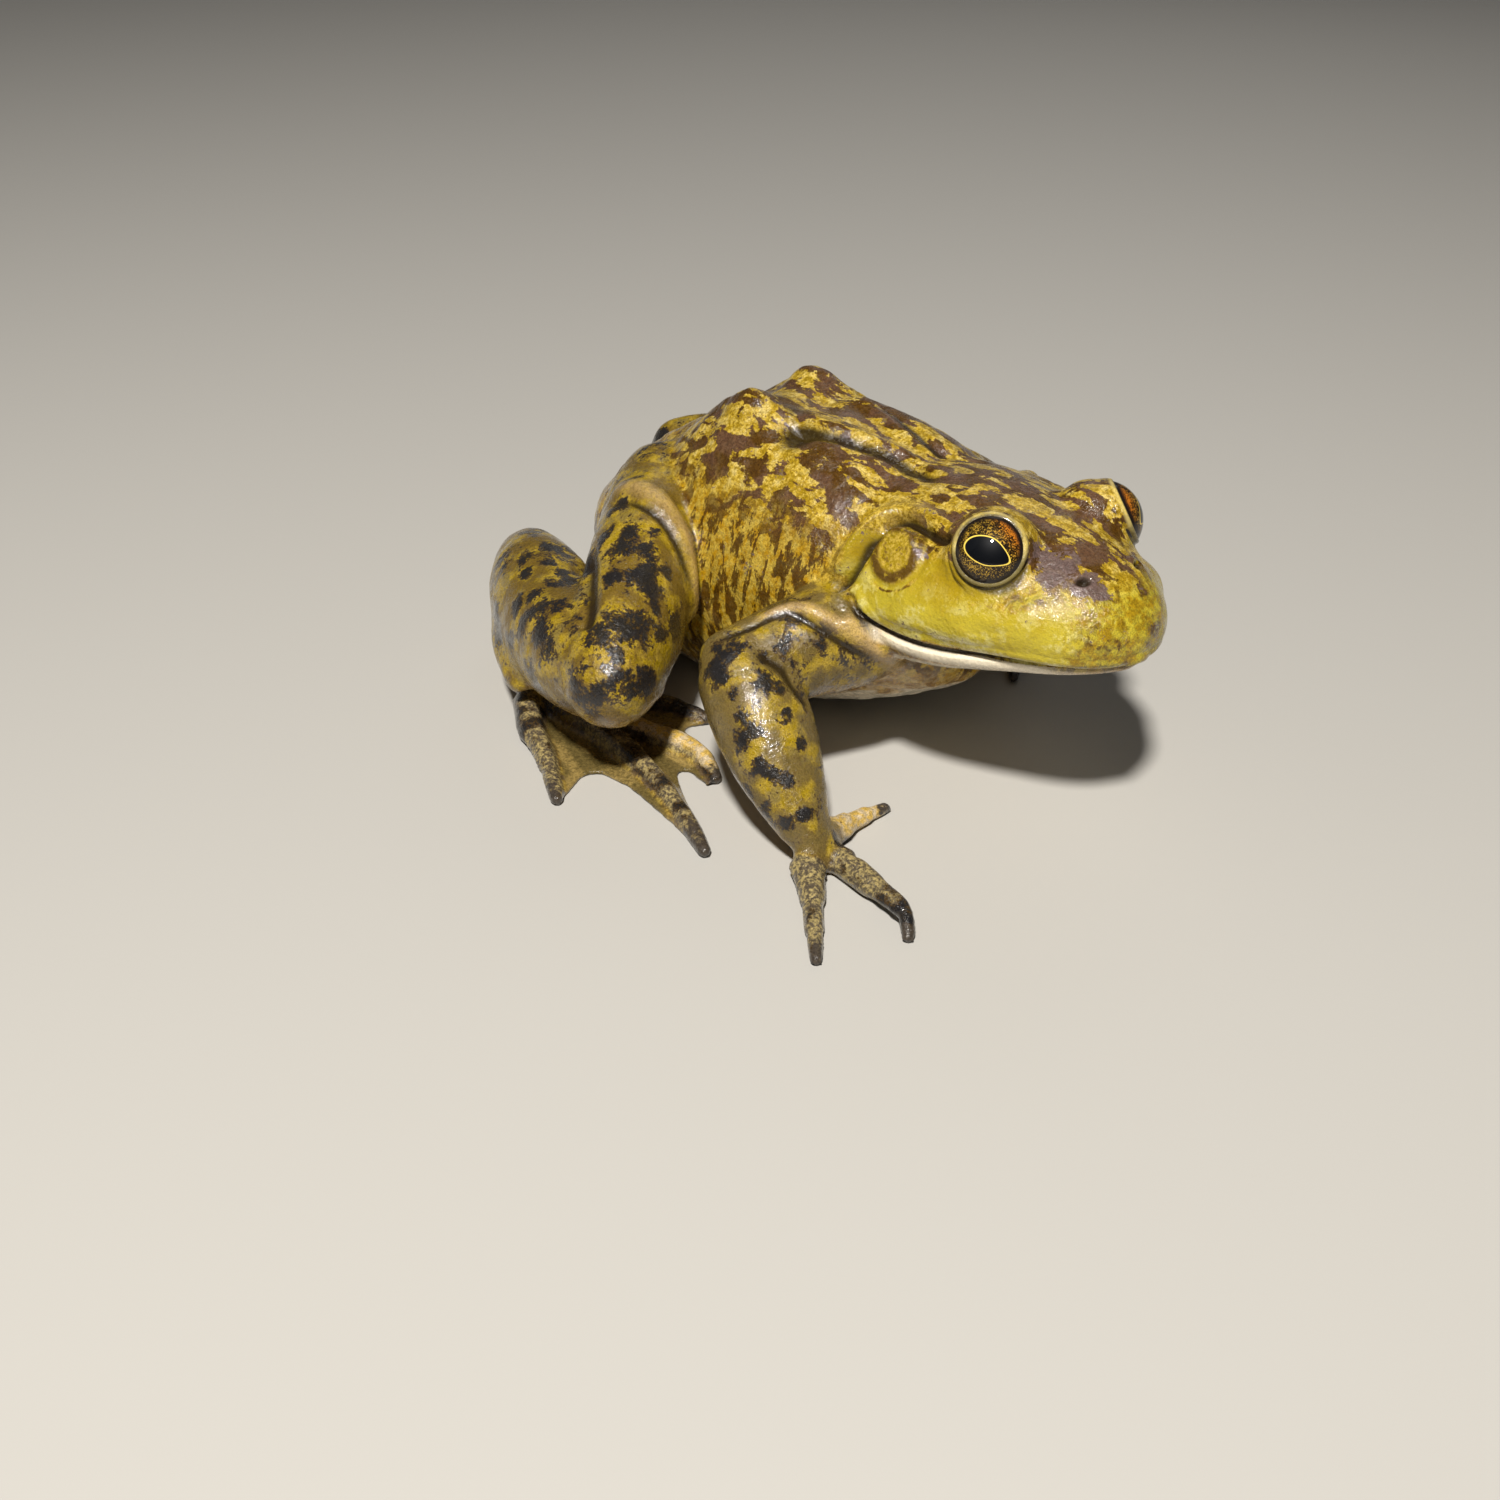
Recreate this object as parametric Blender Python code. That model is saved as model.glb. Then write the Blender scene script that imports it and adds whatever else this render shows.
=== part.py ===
# A bullfrog, life size, sitting with its head up, its hands and feet spread on a level floor.
# Sizes are in millimetres in the frog's own frame: +X to the snout, +Y to its left, +Z up, floor at z = 0.
# The last step scales the model to metres and moves the middle of its box over the origin.
from math import cos, pi, radians, sin

import bmesh
import bpy
import numpy as np
from mathutils import Matrix, Vector

MM = 0.001
GAP = 0.3            # clearance between neighbouring pieces
FLATTEST = 1.4       # faces that meet at less than this angle, in degrees, become one
SOLE = 0.0           # level of every surface that rests on the floor
TRUNK_SEGMENTS = 20
HEAD_SEGMENTS = 20
LIMB_SEGMENTS = 12
DIGIT_SEGMENTS = 6
CAP_SHARE = 0.7      # how far out, and how wide, the ring of a limb's round end is

# Trunk, from the vent forward to the throat: x, top, bottom, half width, level of the widest point.
TRUNK_STATIONS = [
    (-62.0, 19.5, 16.5, 1.0, 18.0),
    (-60.0, 21.5, 11.5, 5.5, 17.0),
    (-55.0, 25.5, 5.5, 11.0, 16.0),
    (-47.0, 31.8, 0.8, 16.0, 16.0),
    (-38.0, 38.0, -1.2, 19.0, 17.0),
    (-30.0, 43.9, -1.8, 20.5, 18.0),
    (-21.0, 48.2, -1.6, 21.5, 18.5),
    (-10.0, 48.3, 0.4, 22.5, 20.0),
    (1.0, 47.0, 3.4, 22.5, 23.0),
    (10.0, 44.9, 6.8, 20.0, 27.0),
    (17.0, 43.4, 10.4, 16.5, 29.0),
    (22.0, 41.0, 15.0, 11.0, 30.0),
    (23.5, 37.0, 26.0, 3.0, 32.0),
]
TRUNK_ROUNDNESS = (2.15, 2.3)     # superellipse powers of the upper and lower half
HUMP_X, HUMP_LENGTH = -22.0, 8.5  # the sacral hump: two knobs beside a furrow
HUMP_Y, HUMP_WIDTH, HUMP_RISE = 7.8, 4.4, 3.0
FURROW_DEPTH, FURROW_WIDTH = 1.2, 3.2
BACK_LEVEL = 38.0                 # the humps and the furrow shape the trunk above this level

# Head frame: at the nape, turned to the frog's right, snout a little up.
HEAD_ORIGIN = (12.1, -0.1, 35.0)
HEAD_YAW, HEAD_PITCH, HEAD_ROLL = radians(-10.0), radians(-5.5), radians(-2.0)
# Upper head, from the nape forward: x, top, mouth level at the side, half width, level of the widest point.
HEAD_STATIONS = [
    (-9.0, 5.0, -1.0, 5.0, 2.0),
    (-7.5, 8.5, -5.0, 13.0, -1.0),
    (-3.0, 9.8, -7.0, 18.3, -4.0),
    (4.0, 10.2, -8.0, 20.2, -5.8),
    (12.0, 9.8, -8.3, 19.8, -6.2),
    (20.0, 8.6, -8.3, 17.8, -6.2),
    (26.0, 7.0, -8.5, 15.6, -6.0),
    (31.0, 5.0, -8.7, 13.2, -5.8),
    (35.6, 2.5, -8.8, 10.0, -5.4),
    (39.0, -0.7, -8.4, 6.1, -4.8),
    (40.6, -3.8, -6.6, 1.6, -4.8),
]
HEAD_ROUNDNESS = (2.0, 3.2)
# Lower jaw: x, top, bottom, half width, level of the widest point.
JAW_STATIONS = [
    (-8.0, -8.0, -11.0, 4.0, -9.6),
    (-6.5, -7.0, -13.5, 12.5, -9.6),
    (-1.0, -6.5, -15.5, 18.2, -9.2),
    (8.0, -7.0, -16.6, 19.2, -9.4),
    (17.0, -7.5, -15.0, 17.6, -9.6),
    (25.0, -7.6, -12.6, 14.2, -9.6),
    (31.0, -7.6, -11.6, 10.9, -9.4),
    (35.0, -7.6, -10.8, 7.6, -9.2),
    (37.6, -8.0, -10.2, 3.8, -9.0),
    (38.4, -8.6, -9.6, 0.8, -9.1),
]
JAW_ROUNDNESS = (3.0, 2.2)
EYE_RADIUS = 5.9
EYE_CENTRE = (21.8, 10.7, 4.6)
EYE_AXIS = (0.53, 0.66, 0.53)
BROW_RADIUS, BROW_SET_BACK = 6.8, 1.4
EARDRUM_CENTRE = (8.5, 17.2, 1.5)
EARDRUM_AXIS = (0.08, 0.92, 0.36)
EARDRUM_RADIUS, EARDRUM_THICKNESS = 4.8, 1.6
EARDRUM_SEGMENTS = 14

# Limb joints of the right side and of the left side.
JOINTS = {
    "R": {
        "hip": (-38.0, -9.0, 27.0),
        "knee": (-12.0, -46.0, 17.4),
        "heel": (-57.0, -24.5, 12.6),
        "sole": (-41.0, -37.6, 4.0),
        "shoulder": (11.5, -15.0, 24.0),
        "elbow": (4.0, -35.0, 21.0),
        "wrist": (22.0, -41.3, 6.4),
    },
    "L": {
        "hip": (-38.0, 9.0, 27.0),
        "knee": (-16.0, 46.5, 16.8),
        "heel": (-66.5, 19.0, 18.0),
        "sole": (-52.0, 34.0, 4.0),
        "shoulder": (11.5, 15.0, 24.0),
        "elbow": (-7.0, 30.0, 24.0),
        "wrist": (0.5, 37.0, 6.2),
    },
}
# Digits, inner one first: points of the centre line on the floor plan and their lift off the floor.
TOES = {
    "R": [
        ((-37.0, -34.0, 0.0), (-32.0, -28.5, 0.0), (-27.5, -22.0, 0.0)),
        ((-34.5, -35.2, 0.0), (-26.0, -30.0, 0.0), (-19.0, -26.0, 0.0), (-13.5, -24.5, 0.0)),
        ((-32.0, -37.0, 0.0), (-18.0, -35.8, 0.0), (-7.5, -33.2, 0.2), (-0.3, -36.0, 0.0)),
        ((-32.0, -39.3, 0.0), (-20.0, -40.2, 0.0), (-10.7, -41.9, 0.0), (-1.4, -44.4, 0.0),
         (12.0, -50.6, 0.0)),
        ((-37.0, -42.0, 0.0), (-31.0, -46.8, 0.0), (-23.0, -50.5, 0.0), (-13.0, -56.8, 0.0)),
    ],
    "L": [
        ((-46.5, 31.0, 0.0), (-41.0, 25.5, 0.0), (-36.0, 19.8, 0.0)),
        ((-43.5, 31.6, 0.0), (-35.5, 28.5, 0.0), (-28.0, 25.0, 0.0), (-22.0, 24.5, 0.0)),
        ((-41.0, 33.8, 0.0), (-29.0, 34.2, 0.0), (-19.0, 33.4, 0.2), (-11.0, 35.5, 0.0)),
        ((-41.0, 36.3, 0.0), (-30.0, 40.2, 0.0), (-21.0, 44.0, 0.0), (-12.5, 48.0, 0.0), (-2.0, 54.0, 0.0)),
        ((-45.5, 38.2, 0.0), (-39.5, 44.0, 0.0), (-32.0, 49.5, 0.0), (-22.5, 56.0, 0.0)),
    ],
}
FINGERS = {
    "R": [
        ((22.0, -38.0, 0.6), (17.5, -34.0, 0.0), (13.0, -29.5, 0.0)),
        ((23.5, -37.6, 0.6), (22.6, -31.5, 0.3), (23.2, -23.8, 0.0)),
        ((25.8, -40.0, 0.6), (30.0, -39.9, 0.5), (37.0, -41.6, 1.0), (42.0, -42.6, 1.4),
         (45.1, -45.1, 0.0)),
        ((26.0, -44.2, 0.6), (30.3, -48.0, 0.4), (39.5, -57.3, 0.0)),
    ],
    "L": [
        ((1.0, 33.8, 0.6), (2.5, 28.5, 0.0), (5.0, 23.0, 0.0)),
        ((3.2, 34.2, 0.6), (8.2, 28.8, 0.3), (13.4, 21.6, 0.0)),
        ((4.4, 37.6, 0.6), (12.0, 38.0, 0.7), (20.0, 39.5, 0.0)),
        ((3.2, 40.4, 0.6), (6.5, 45.5, 0.3), (12.0, 53.0, 0.0)),
    ],
}
TOE_RADII = (2.3, 1.8, 1.15)
FINGER_RADII = (2.2, 1.5, 1.0)
WEB_THICKNESS = 0.8
WEB_REACH = (0.93, 0.66)      # share of the toes' lines at the web's sides and in its middle


def head_matrix():
    turn = Matrix.Translation(HEAD_ORIGIN)
    for angle, axis in ((HEAD_YAW, "Z"), (HEAD_PITCH, "Y"), (HEAD_ROLL, "X")):
        turn = turn @ Matrix.Rotation(angle, 4, axis)
    return turn


def spline(points, count):
    """Evenly parametrised Catmull-Rom curve through rows of numbers."""
    p = np.array(points, float)
    p = np.vstack([2 * p[0] - p[1], p, 2 * p[-1] - p[-2]])
    out = []
    for u in np.linspace(0, len(points) - 1, count):
        i = min(int(u), len(points) - 2)
        t = u - i
        a, b, c, d = p[i : i + 4]
        bend = (2 * a - 5 * b + 4 * c - d) * t**2 + (3 * b - a - 3 * c + d) * t**3
        out.append(0.5 * (2 * b + (c - a) * t + bend))
    return np.array(out)


def mesh_from_rings(name, rings, first, last):
    """Closed mesh through rings of points, with an end point before the first and after the last."""
    count = len(rings[0])
    points = [tuple(first)] + [tuple(p) for ring in rings for p in ring] + [tuple(last)]
    faces = []
    for k in range(count):
        n = (k + 1) % count
        faces.append((0, 1 + n, 1 + k))
        for r in range(len(rings) - 1):
            a, b = 1 + r * count, 1 + (r + 1) * count
            faces.append((a + k, a + n, b + n, b + k))
        base = 1 + (len(rings) - 1) * count
        faces.append((base + k, base + n, len(points) - 1))
    mesh = bpy.data.meshes.new(name)
    mesh.from_pydata([Vector(p) for p in points], [], faces)
    made = bmesh.new()
    made.from_mesh(mesh)
    bmesh.ops.recalc_face_normals(made, faces=made.faces)
    made.to_mesh(mesh)
    made.free()
    obj = bpy.data.objects.new(name, mesh)
    bpy.context.scene.collection.objects.link(obj)
    return obj


def superellipse(angle, width, up, down, powers):
    c, s = cos(angle), sin(angle)
    power = powers[0] if s >= 0 else powers[1]
    y = width * abs(c) ** (2 / power) * (1 if c >= 0 else -1)
    z = (up if s >= 0 else -down) * abs(s) ** (2 / power)
    return y, z


def body_loft(name, stations, count, segments, powers, grow=0.0, shape=None):
    """Loft of upright sections along X. shape(x, y, z) may lift a point."""
    rows = spline(stations, count)
    rings = []
    for x, top, bottom, width, level in rows:
        ring = []
        up, down, half = top - level + grow, level - bottom + grow, max(width, GAP) + grow
        for k in range(segments):
            y, z = superellipse(2 * pi * k / segments, half, up, down, powers)
            point = (x, y, level + z)
            ring.append(shape(*point) if shape else point)
        rings.append(ring)
    first = (rows[0][0] - 0.4 - grow, 0, rows[0][4])
    last = (rows[-1][0] + 0.4 + grow, 0, rows[-1][4])
    return mesh_from_rings(name, rings, first, last)


def limb_loft(name, spine, count, segments, up=(0, 0, 1), grow=0.0, floor=None):
    """Tube along a spine of (x, y, z, half width, half height), with round ends."""
    rows = spline(spine, count)
    centres = rows[:, :3]
    tangents = np.gradient(centres, axis=0)
    rings = []
    ends = []
    for centre, tangent, (width, height) in zip(centres, tangents, rows[:, 3:]):
        along = Vector(tangent).normalized()
        side = along.cross(Vector(up)).normalized()
        rise = side.cross(along)
        ring = []
        for k in range(segments):
            angle = 2 * pi * k / segments
            p = Vector(centre) + side * cos(angle) * (width + grow) + rise * sin(angle) * (height + grow)
            ring.append(p)
        rings.append(ring)
        ends.append((Vector(centre), along, min(width, height) + grow))
    tips, caps = [], []
    for (centre, along, reach), ring, way in ((ends[0], rings[0], -1), (ends[-1], rings[-1], 1)):
        tips.append(centre + along * reach * way)
        caps.append([centre + along * reach * way * CAP_SHARE + (p - centre) * CAP_SHARE for p in ring])
    rings = [caps[0], *rings, caps[1]]
    first, last = tips
    obj = mesh_from_rings(name, rings, first, last)
    if floor is not None:
        for v in obj.data.vertices:
            v.co.z = max(v.co.z, floor - grow)
    return obj


def boolean(obj, cutter, operation):
    modifier = obj.modifiers.new(operation.lower(), "BOOLEAN")
    modifier.operation = operation
    modifier.object = cutter
    graph = bpy.context.evaluated_depsgraph_get()
    mesh = bpy.data.meshes.new_from_object(obj.evaluated_get(graph))
    obj.modifiers.clear()
    old = obj.data
    obj.data = mesh
    bpy.data.meshes.remove(old)


def keep_largest(obj):
    """Drops the loose scraps that a cut leaves."""
    made = bmesh.new()
    made.from_mesh(obj.data)
    left, groups = set(made.verts), []
    while left:
        todo = [left.pop()]
        group = set(todo)
        while todo:
            for edge in todo.pop().link_edges:
                for v in edge.verts:
                    if v in left:
                        left.remove(v)
                        group.add(v)
                        todo.append(v)
        groups.append(group)
    largest = max(groups, key=len)
    bmesh.ops.delete(made, geom=[v for g in groups if g is not largest for v in g], context="VERTS")
    made.to_mesh(obj.data)
    made.free()


def delete(obj):
    mesh = obj.data
    bpy.data.objects.remove(obj)
    bpy.data.meshes.remove(mesh)


def cut_by(obj, *makers):
    """Cuts obj by each maker's shape grown by the gap."""
    for maker in makers:
        cutter = maker("cutter", GAP)
        boolean(obj, cutter, "DIFFERENCE")
        delete(cutter)
    keep_largest(obj)


def hump(x, y, z):
    rise = HUMP_RISE * np.exp(-(((x - HUMP_X) / HUMP_LENGTH) ** 2))
    rise *= np.exp(-(((abs(y) - HUMP_Y) / HUMP_WIDTH) ** 2))
    furrow = FURROW_DEPTH * np.exp(-((y / FURROW_WIDTH) ** 2))
    upper = 1.0 if z > BACK_LEVEL else 0.0
    return x, y, max(z + (rise - furrow) * upper, SOLE)


def trunk(name, grow=0.0):
    return body_loft(name, TRUNK_STATIONS, 25, TRUNK_SEGMENTS, TRUNK_ROUNDNESS, grow, hump)


def in_head_frame(obj):
    obj.data.transform(head_matrix())
    return obj


def skull(name, grow=0.0):
    return in_head_frame(body_loft(name, HEAD_STATIONS, 16, HEAD_SEGMENTS, HEAD_ROUNDNESS, grow))


def jaw(name, grow=0.0):
    return in_head_frame(body_loft(name, JAW_STATIONS, 11, 18, JAW_ROUNDNESS, grow))


def ball(name, centre, radius, side, grow=0.0, rings=9, segments=14):
    made = bmesh.new()
    bmesh.ops.create_uvsphere(made, u_segments=segments, v_segments=rings, radius=1.0)
    mesh = bpy.data.meshes.new(name)
    made.to_mesh(mesh)
    made.free()
    obj = bpy.data.objects.new(name, mesh)
    bpy.context.scene.collection.objects.link(obj)
    place = Vector((centre[0], centre[1] * side, centre[2]))
    mesh.transform(Matrix.Translation(place) @ Matrix.Scale(radius + grow, 4))
    return in_head_frame(obj)


def eye(name, side, grow=0.0):
    return ball(name, EYE_CENTRE, EYE_RADIUS, side, grow)


def brow(name, side):
    centre = [c - BROW_SET_BACK * a for c, a in zip(EYE_CENTRE, EYE_AXIS)]
    return ball(name, centre, BROW_RADIUS, side)


def eardrum(name, side, grow=0.0):
    """Flat disc with a rounded face, sunk in the cheek."""
    axis = Vector((EARDRUM_AXIS[0], EARDRUM_AXIS[1] * side, EARDRUM_AXIS[2])).normalized()
    centre = Vector((EARDRUM_CENTRE[0], EARDRUM_CENTRE[1] * side, EARDRUM_CENTRE[2]))
    across = Vector((0, 0, 1)).cross(axis).normalized()
    rise = axis.cross(across)
    rings = []
    for depth, share in ((-0.5, 1.0), (0.25, 1.0), (0.42, 0.75)):
        radius = EARDRUM_RADIUS * share + grow
        offset = axis * (depth * (EARDRUM_THICKNESS + 2 * grow))
        turns = [2 * pi * k / EARDRUM_SEGMENTS for k in range(EARDRUM_SEGMENTS)]
        rings.append([centre + offset + (across * cos(t) + rise * sin(t)) * radius for t in turns])
    half = 0.5 * (EARDRUM_THICKNESS + 2 * grow)
    return in_head_frame(mesh_from_rings(name, rings, centre - axis * half, centre + axis * half))


def limb_maker(points, count, segments=LIMB_SEGMENTS, up=(0, 0, 1)):
    return lambda name, grow=0.0: limb_loft(name, points, count, segments, up, grow, SOLE)


def between(a, b, share, lift=0.0):
    x, y, z = (p + (q - p) * share for p, q in zip(a, b))
    return x, y, z + lift


def leg_makers(side):
    hip, knee, heel, sole = (JOINTS[side][k] for k in ("hip", "knee", "heel", "sole"))
    thigh = [
        (*between(hip, knee, 0.0), 8.6, 10.4),
        (*between(hip, knee, 0.3, 1.0), 8.8, 10.8),
        (*between(hip, knee, 0.55, 0.8), 8.8, 10.4),
        (*between(hip, knee, 0.82, 0.3), 8.2, 9.0),
        (*between(hip, knee, 1.0), 7.2, 7.6),
    ]
    out = -1.0 if side == "R" else 1.0
    bow = [between(knee, heel, share, lift) for share, lift in ((0.25, -0.6), (0.53, -1.2), (0.8, -0.4))]
    shank = [
        (*knee, 7.0, 7.2),
        (bow[0][0], bow[0][1] + 1.6 * out, bow[0][2], 8.2, 8.8),
        (bow[1][0], bow[1][1] + 2.0 * out, bow[1][2], 8.8, 9.4),
        (bow[2][0], bow[2][1] + 1.0 * out, bow[2][2] + 0.6, 8.2, 9.0),
        (*between(knee, heel, 0.96, 1.2), 6.2, 6.8),
    ]
    tarsus = [
        (*between(heel, sole, -0.05, -1.5), 4.2, 4.6),
        (*between(heel, sole, 0.4, -1.6), 4.0, 4.0),
        (*between(heel, sole, 0.95, -0.6), 4.5, 3.2),
    ]
    return {
        "thigh": limb_maker(thigh, 9),
        "shank": limb_maker(shank, 9),
        "tarsus": limb_maker(tarsus, 5, 10),
    }


def foot_plate(side):
    sole = JOINTS[side]["sole"]
    reach = [sum(line[1][k] for line in TOES[side][1:4]) / 3 for k in (0, 1)]
    points = [
        (*sole[:2], 2.6, 4.8, 3.2),
        (*between((*sole[:2], 2.1), (*reach, 2.1), 0.4), 5.6, 2.8),
        (*between((*sole[:2], 1.8), (*reach, 1.8), 0.75), 5.4, 2.3),
    ]
    return limb_maker(points, 4, 10)


def digit_maker(line, radii):
    """Digit along a centre line of (x, y, lift), resting on the floor."""
    count = len(line)
    points = []
    for n, (x, y, lift) in enumerate(line):
        radius = np.interp(n / (count - 1), (0, 0.5, 1), radii)
        points.append((x, y, 0.72 * radius + lift, radius, 0.95 * radius))
    return limb_maker(points, 6, DIGIT_SEGMENTS)


def toe_makers(side):
    return [digit_maker(line, TOE_RADII) for line in TOES[side]]


def finger_makers(side):
    return [digit_maker(line, FINGER_RADII) for line in FINGERS[side]]


def arm_makers(side):
    shoulder, elbow, wrist = (JOINTS[side][k] for k in ("shoulder", "elbow", "wrist"))
    upper = [
        (*between(shoulder, elbow, 0.0), 7.6, 8.4),
        (*between(shoulder, elbow, 0.4, 0.4), 7.4, 8.0),
        (*between(shoulder, elbow, 0.75, 0.3), 6.9, 7.2),
        (*between(shoulder, elbow, 1.0), 6.4, 6.6),
    ]
    fore = [
        (*between(elbow, wrist, 0.0, 0.2), 7.0, 6.8),
        (*between(elbow, wrist, 0.3, 0.6), 7.5, 7.2),
        (*between(elbow, wrist, 0.66, 0.1), 6.8, 6.0),
        (*between(elbow, wrist, 1.0), 4.2, 4.0),
    ]
    return {
        "upper_arm": limb_maker(upper, 6),
        "forearm": limb_maker(fore, 7, up=(1, 0, 0)),
    }


def palm(side):
    wrist = JOINTS[side]["wrist"]
    ahead = [sum(line[0][k] for line in FINGERS[side]) / 4 for k in (0, 1)]
    points = [
        (*between(wrist, (*ahead, 3.0), 0.1), 4.0, 3.6),
        (*between(wrist, (*ahead, 3.0), 0.65), 4.6, 3.2),
        (*between(wrist, (*ahead, 2.6), 1.25), 4.6, 2.6),
    ]
    return limb_maker(points, 4, 10)


def web(name, side, number):
    """Sheet between two toes, with a hollow edge, a gap away from both toes."""
    samples, cells = 41, 5
    share = np.linspace(0, 1, samples)
    lines = [spline([p[:2] for p in TOES[side][n]], samples) for n in (number - 1, number)]
    across = lines[1] - lines[0]
    across /= np.linalg.norm(across, axis=1)[:, None]
    inner = []
    for line, sign in zip(lines, (1.0, -1.0)):
        ahead = np.gradient(line, axis=0)
        ahead /= np.linalg.norm(ahead, axis=1)[:, None]
        slant = abs(ahead[:, 0] * across[:, 1] - ahead[:, 1] * across[:, 0])
        clear = (np.interp(share, (0, 0.5, 1), TOE_RADII) + GAP) / slant
        inner.append(line + across * sign * clear[:, None])
    width = ((inner[1] - inner[0]) * across).sum(axis=1)
    first = next(n for n in range(samples) if width[n] > 0.7)
    grid = []
    for s in np.linspace(0, 1, cells):
        reach = WEB_REACH[0] - (WEB_REACH[0] - WEB_REACH[1]) * 4 * s * (1 - s)
        row = []
        for k in np.linspace(first, max(reach * (samples - 1), first + 4), cells):
            a, b = (np.array([np.interp(k, range(samples), edge[:, c]) for c in (0, 1)]) for edge in inner)
            row.append(a + (b - a) * s)
        grid.append(row)
    points, faces = [], []
    for z in (SOLE, SOLE + WEB_THICKNESS):
        points += [(p[0], p[1], z) for row in grid for p in row]
    layer = cells * cells
    for i in range(cells - 1):
        for k in range(cells - 1):
            a = i * cells + k
            quad = (a, a + 1, a + cells + 1, a + cells)
            faces += [quad, tuple(v + layer for v in reversed(quad))]
    rim = [i * cells for i in range(cells)] + [(cells - 1) * cells + k for k in range(1, cells)]
    rim += [i * cells + cells - 1 for i in range(cells - 2, -1, -1)] + list(range(cells - 2, 0, -1))
    for a, b in zip(rim, rim[1:] + rim[:1]):
        faces.append((a, b, b + layer, a + layer))
    mesh = bpy.data.meshes.new(name)
    mesh.from_pydata([Vector(p) for p in points], [], faces)
    made = bmesh.new()
    made.from_mesh(mesh)
    bmesh.ops.recalc_face_normals(made, faces=made.faces)
    made.to_mesh(mesh)
    made.free()
    obj = bpy.data.objects.new(name, mesh)
    bpy.context.scene.collection.objects.link(obj)
    return obj


LOOKS = {
    "skin": ((0.27, 0.23, 0.06), 0.32),
    "limb_skin": ((0.28, 0.24, 0.08), 0.32),
    "digit_skin": ((0.24, 0.2, 0.1), 0.32),
    "pale_skin": ((0.72, 0.62, 0.42), 0.35),
    "web": ((0.34, 0.27, 0.14), 0.35),
    "eardrum": ((0.3, 0.24, 0.06), 0.35),
    "eye": ((0.05, 0.03, 0.02), 0.06),
}


def material(slot):
    found = bpy.data.materials.get(slot)
    if found:
        return found
    colour, roughness = LOOKS[slot]
    made = bpy.data.materials.new(slot)
    made.use_nodes = True
    shader = made.node_tree.nodes["Principled BSDF"]
    shader.inputs["Base Color"].default_value = (*colour, 1.0)
    shader.inputs["Roughness"].default_value = roughness
    return made


def finish(obj, slot):
    """Merges the slivers left by the cuts, shades the piece round and gives it its material."""
    for angle in (FLATTEST, FLATTEST / 2, 0.0):
        made = bmesh.new()
        made.from_mesh(obj.data)
        if angle:
            bmesh.ops.dissolve_limit(made, angle_limit=radians(angle), verts=made.verts, edges=made.edges)
        bmesh.ops.triangulate(made, faces=made.faces)
        if all(len(edge.link_faces) == 2 for edge in made.edges):
            break
    bmesh.ops.recalc_face_normals(made, faces=made.faces)
    made.to_mesh(obj.data)
    made.free()
    obj.data.materials.clear()
    obj.data.materials.append(material(slot))
    obj.data.shade_smooth()
    obj.data.set_sharp_from_angle(angle=radians(45))


def ends_of(obj):
    points = np.array([v.co for v in obj.data.vertices])
    return points.min(axis=0), points.max(axis=0)


def build_head(pieces):
    head = skull("head")
    for side, sign in (("R", -1), ("L", 1)):
        lid = brow("lid", sign)
        boolean(head, lid, "UNION")
        delete(lid)
    for side, sign in (("R", -1), ("L", 1)):
        cut_by(
            head,
            lambda name, grow, sign=sign: eye(name, sign, grow),
            lambda name, grow, sign=sign: eardrum(name, sign, grow),
        )
        pieces.append((eye(f"eye_{side}", sign), "eye"))
        pieces.append((eardrum(f"eardrum_{side}", sign), "eardrum"))
    pieces.append((head, "skin"))
    under = jaw("lower_jaw")
    cut_by(under, skull)
    pieces.append((under, "pale_skin"))


def build_leg(pieces, side):
    leg = leg_makers(side)
    thigh, shank, tarsus, foot = leg["thigh"], leg["shank"], leg["tarsus"], foot_plate(side)
    toes = toe_makers(side)
    made = thigh(f"thigh_{side}")
    cut_by(made, trunk)
    pieces.append((made, "limb_skin"))
    made = shank(f"shank_{side}")
    cut_by(made, thigh, trunk)
    pieces.append((made, "limb_skin"))
    made = tarsus(f"tarsus_{side}")
    cut_by(made, shank, thigh, trunk)
    pieces.append((made, "limb_skin"))
    made = foot(f"foot_{side}")
    cut_by(made, tarsus, shank)
    pieces.append((made, "limb_skin"))
    for n, toe in enumerate(toes):
        made = toe(f"toe_{n + 1}_{side}")
        cut_by(made, foot, tarsus, shank, *toes[:n])
        pieces.append((made, "digit_skin"))
    for n in range(1, 5):
        made = web(f"web_{n}_{side}", side, n)
        cut_by(made, foot)
        pieces.append((made, "web"))


def build_arm(pieces, side):
    arm = arm_makers(side)
    upper, fore, hand = arm["upper_arm"], arm["forearm"], palm(side)
    fingers = finger_makers(side)
    made = upper(f"upper_arm_{side}")
    cut_by(made, jaw, skull, trunk)
    pieces.append((made, "limb_skin"))
    made = fore(f"forearm_{side}")
    cut_by(made, upper, trunk)
    pieces.append((made, "limb_skin"))
    made = hand(f"hand_{side}")
    cut_by(made, fore)
    pieces.append((made, "limb_skin"))
    for n, finger in enumerate(fingers):
        made = finger(f"finger_{n + 1}_{side}")
        cut_by(made, hand, fore, *fingers[:n])
        pieces.append((made, "digit_skin"))


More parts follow.
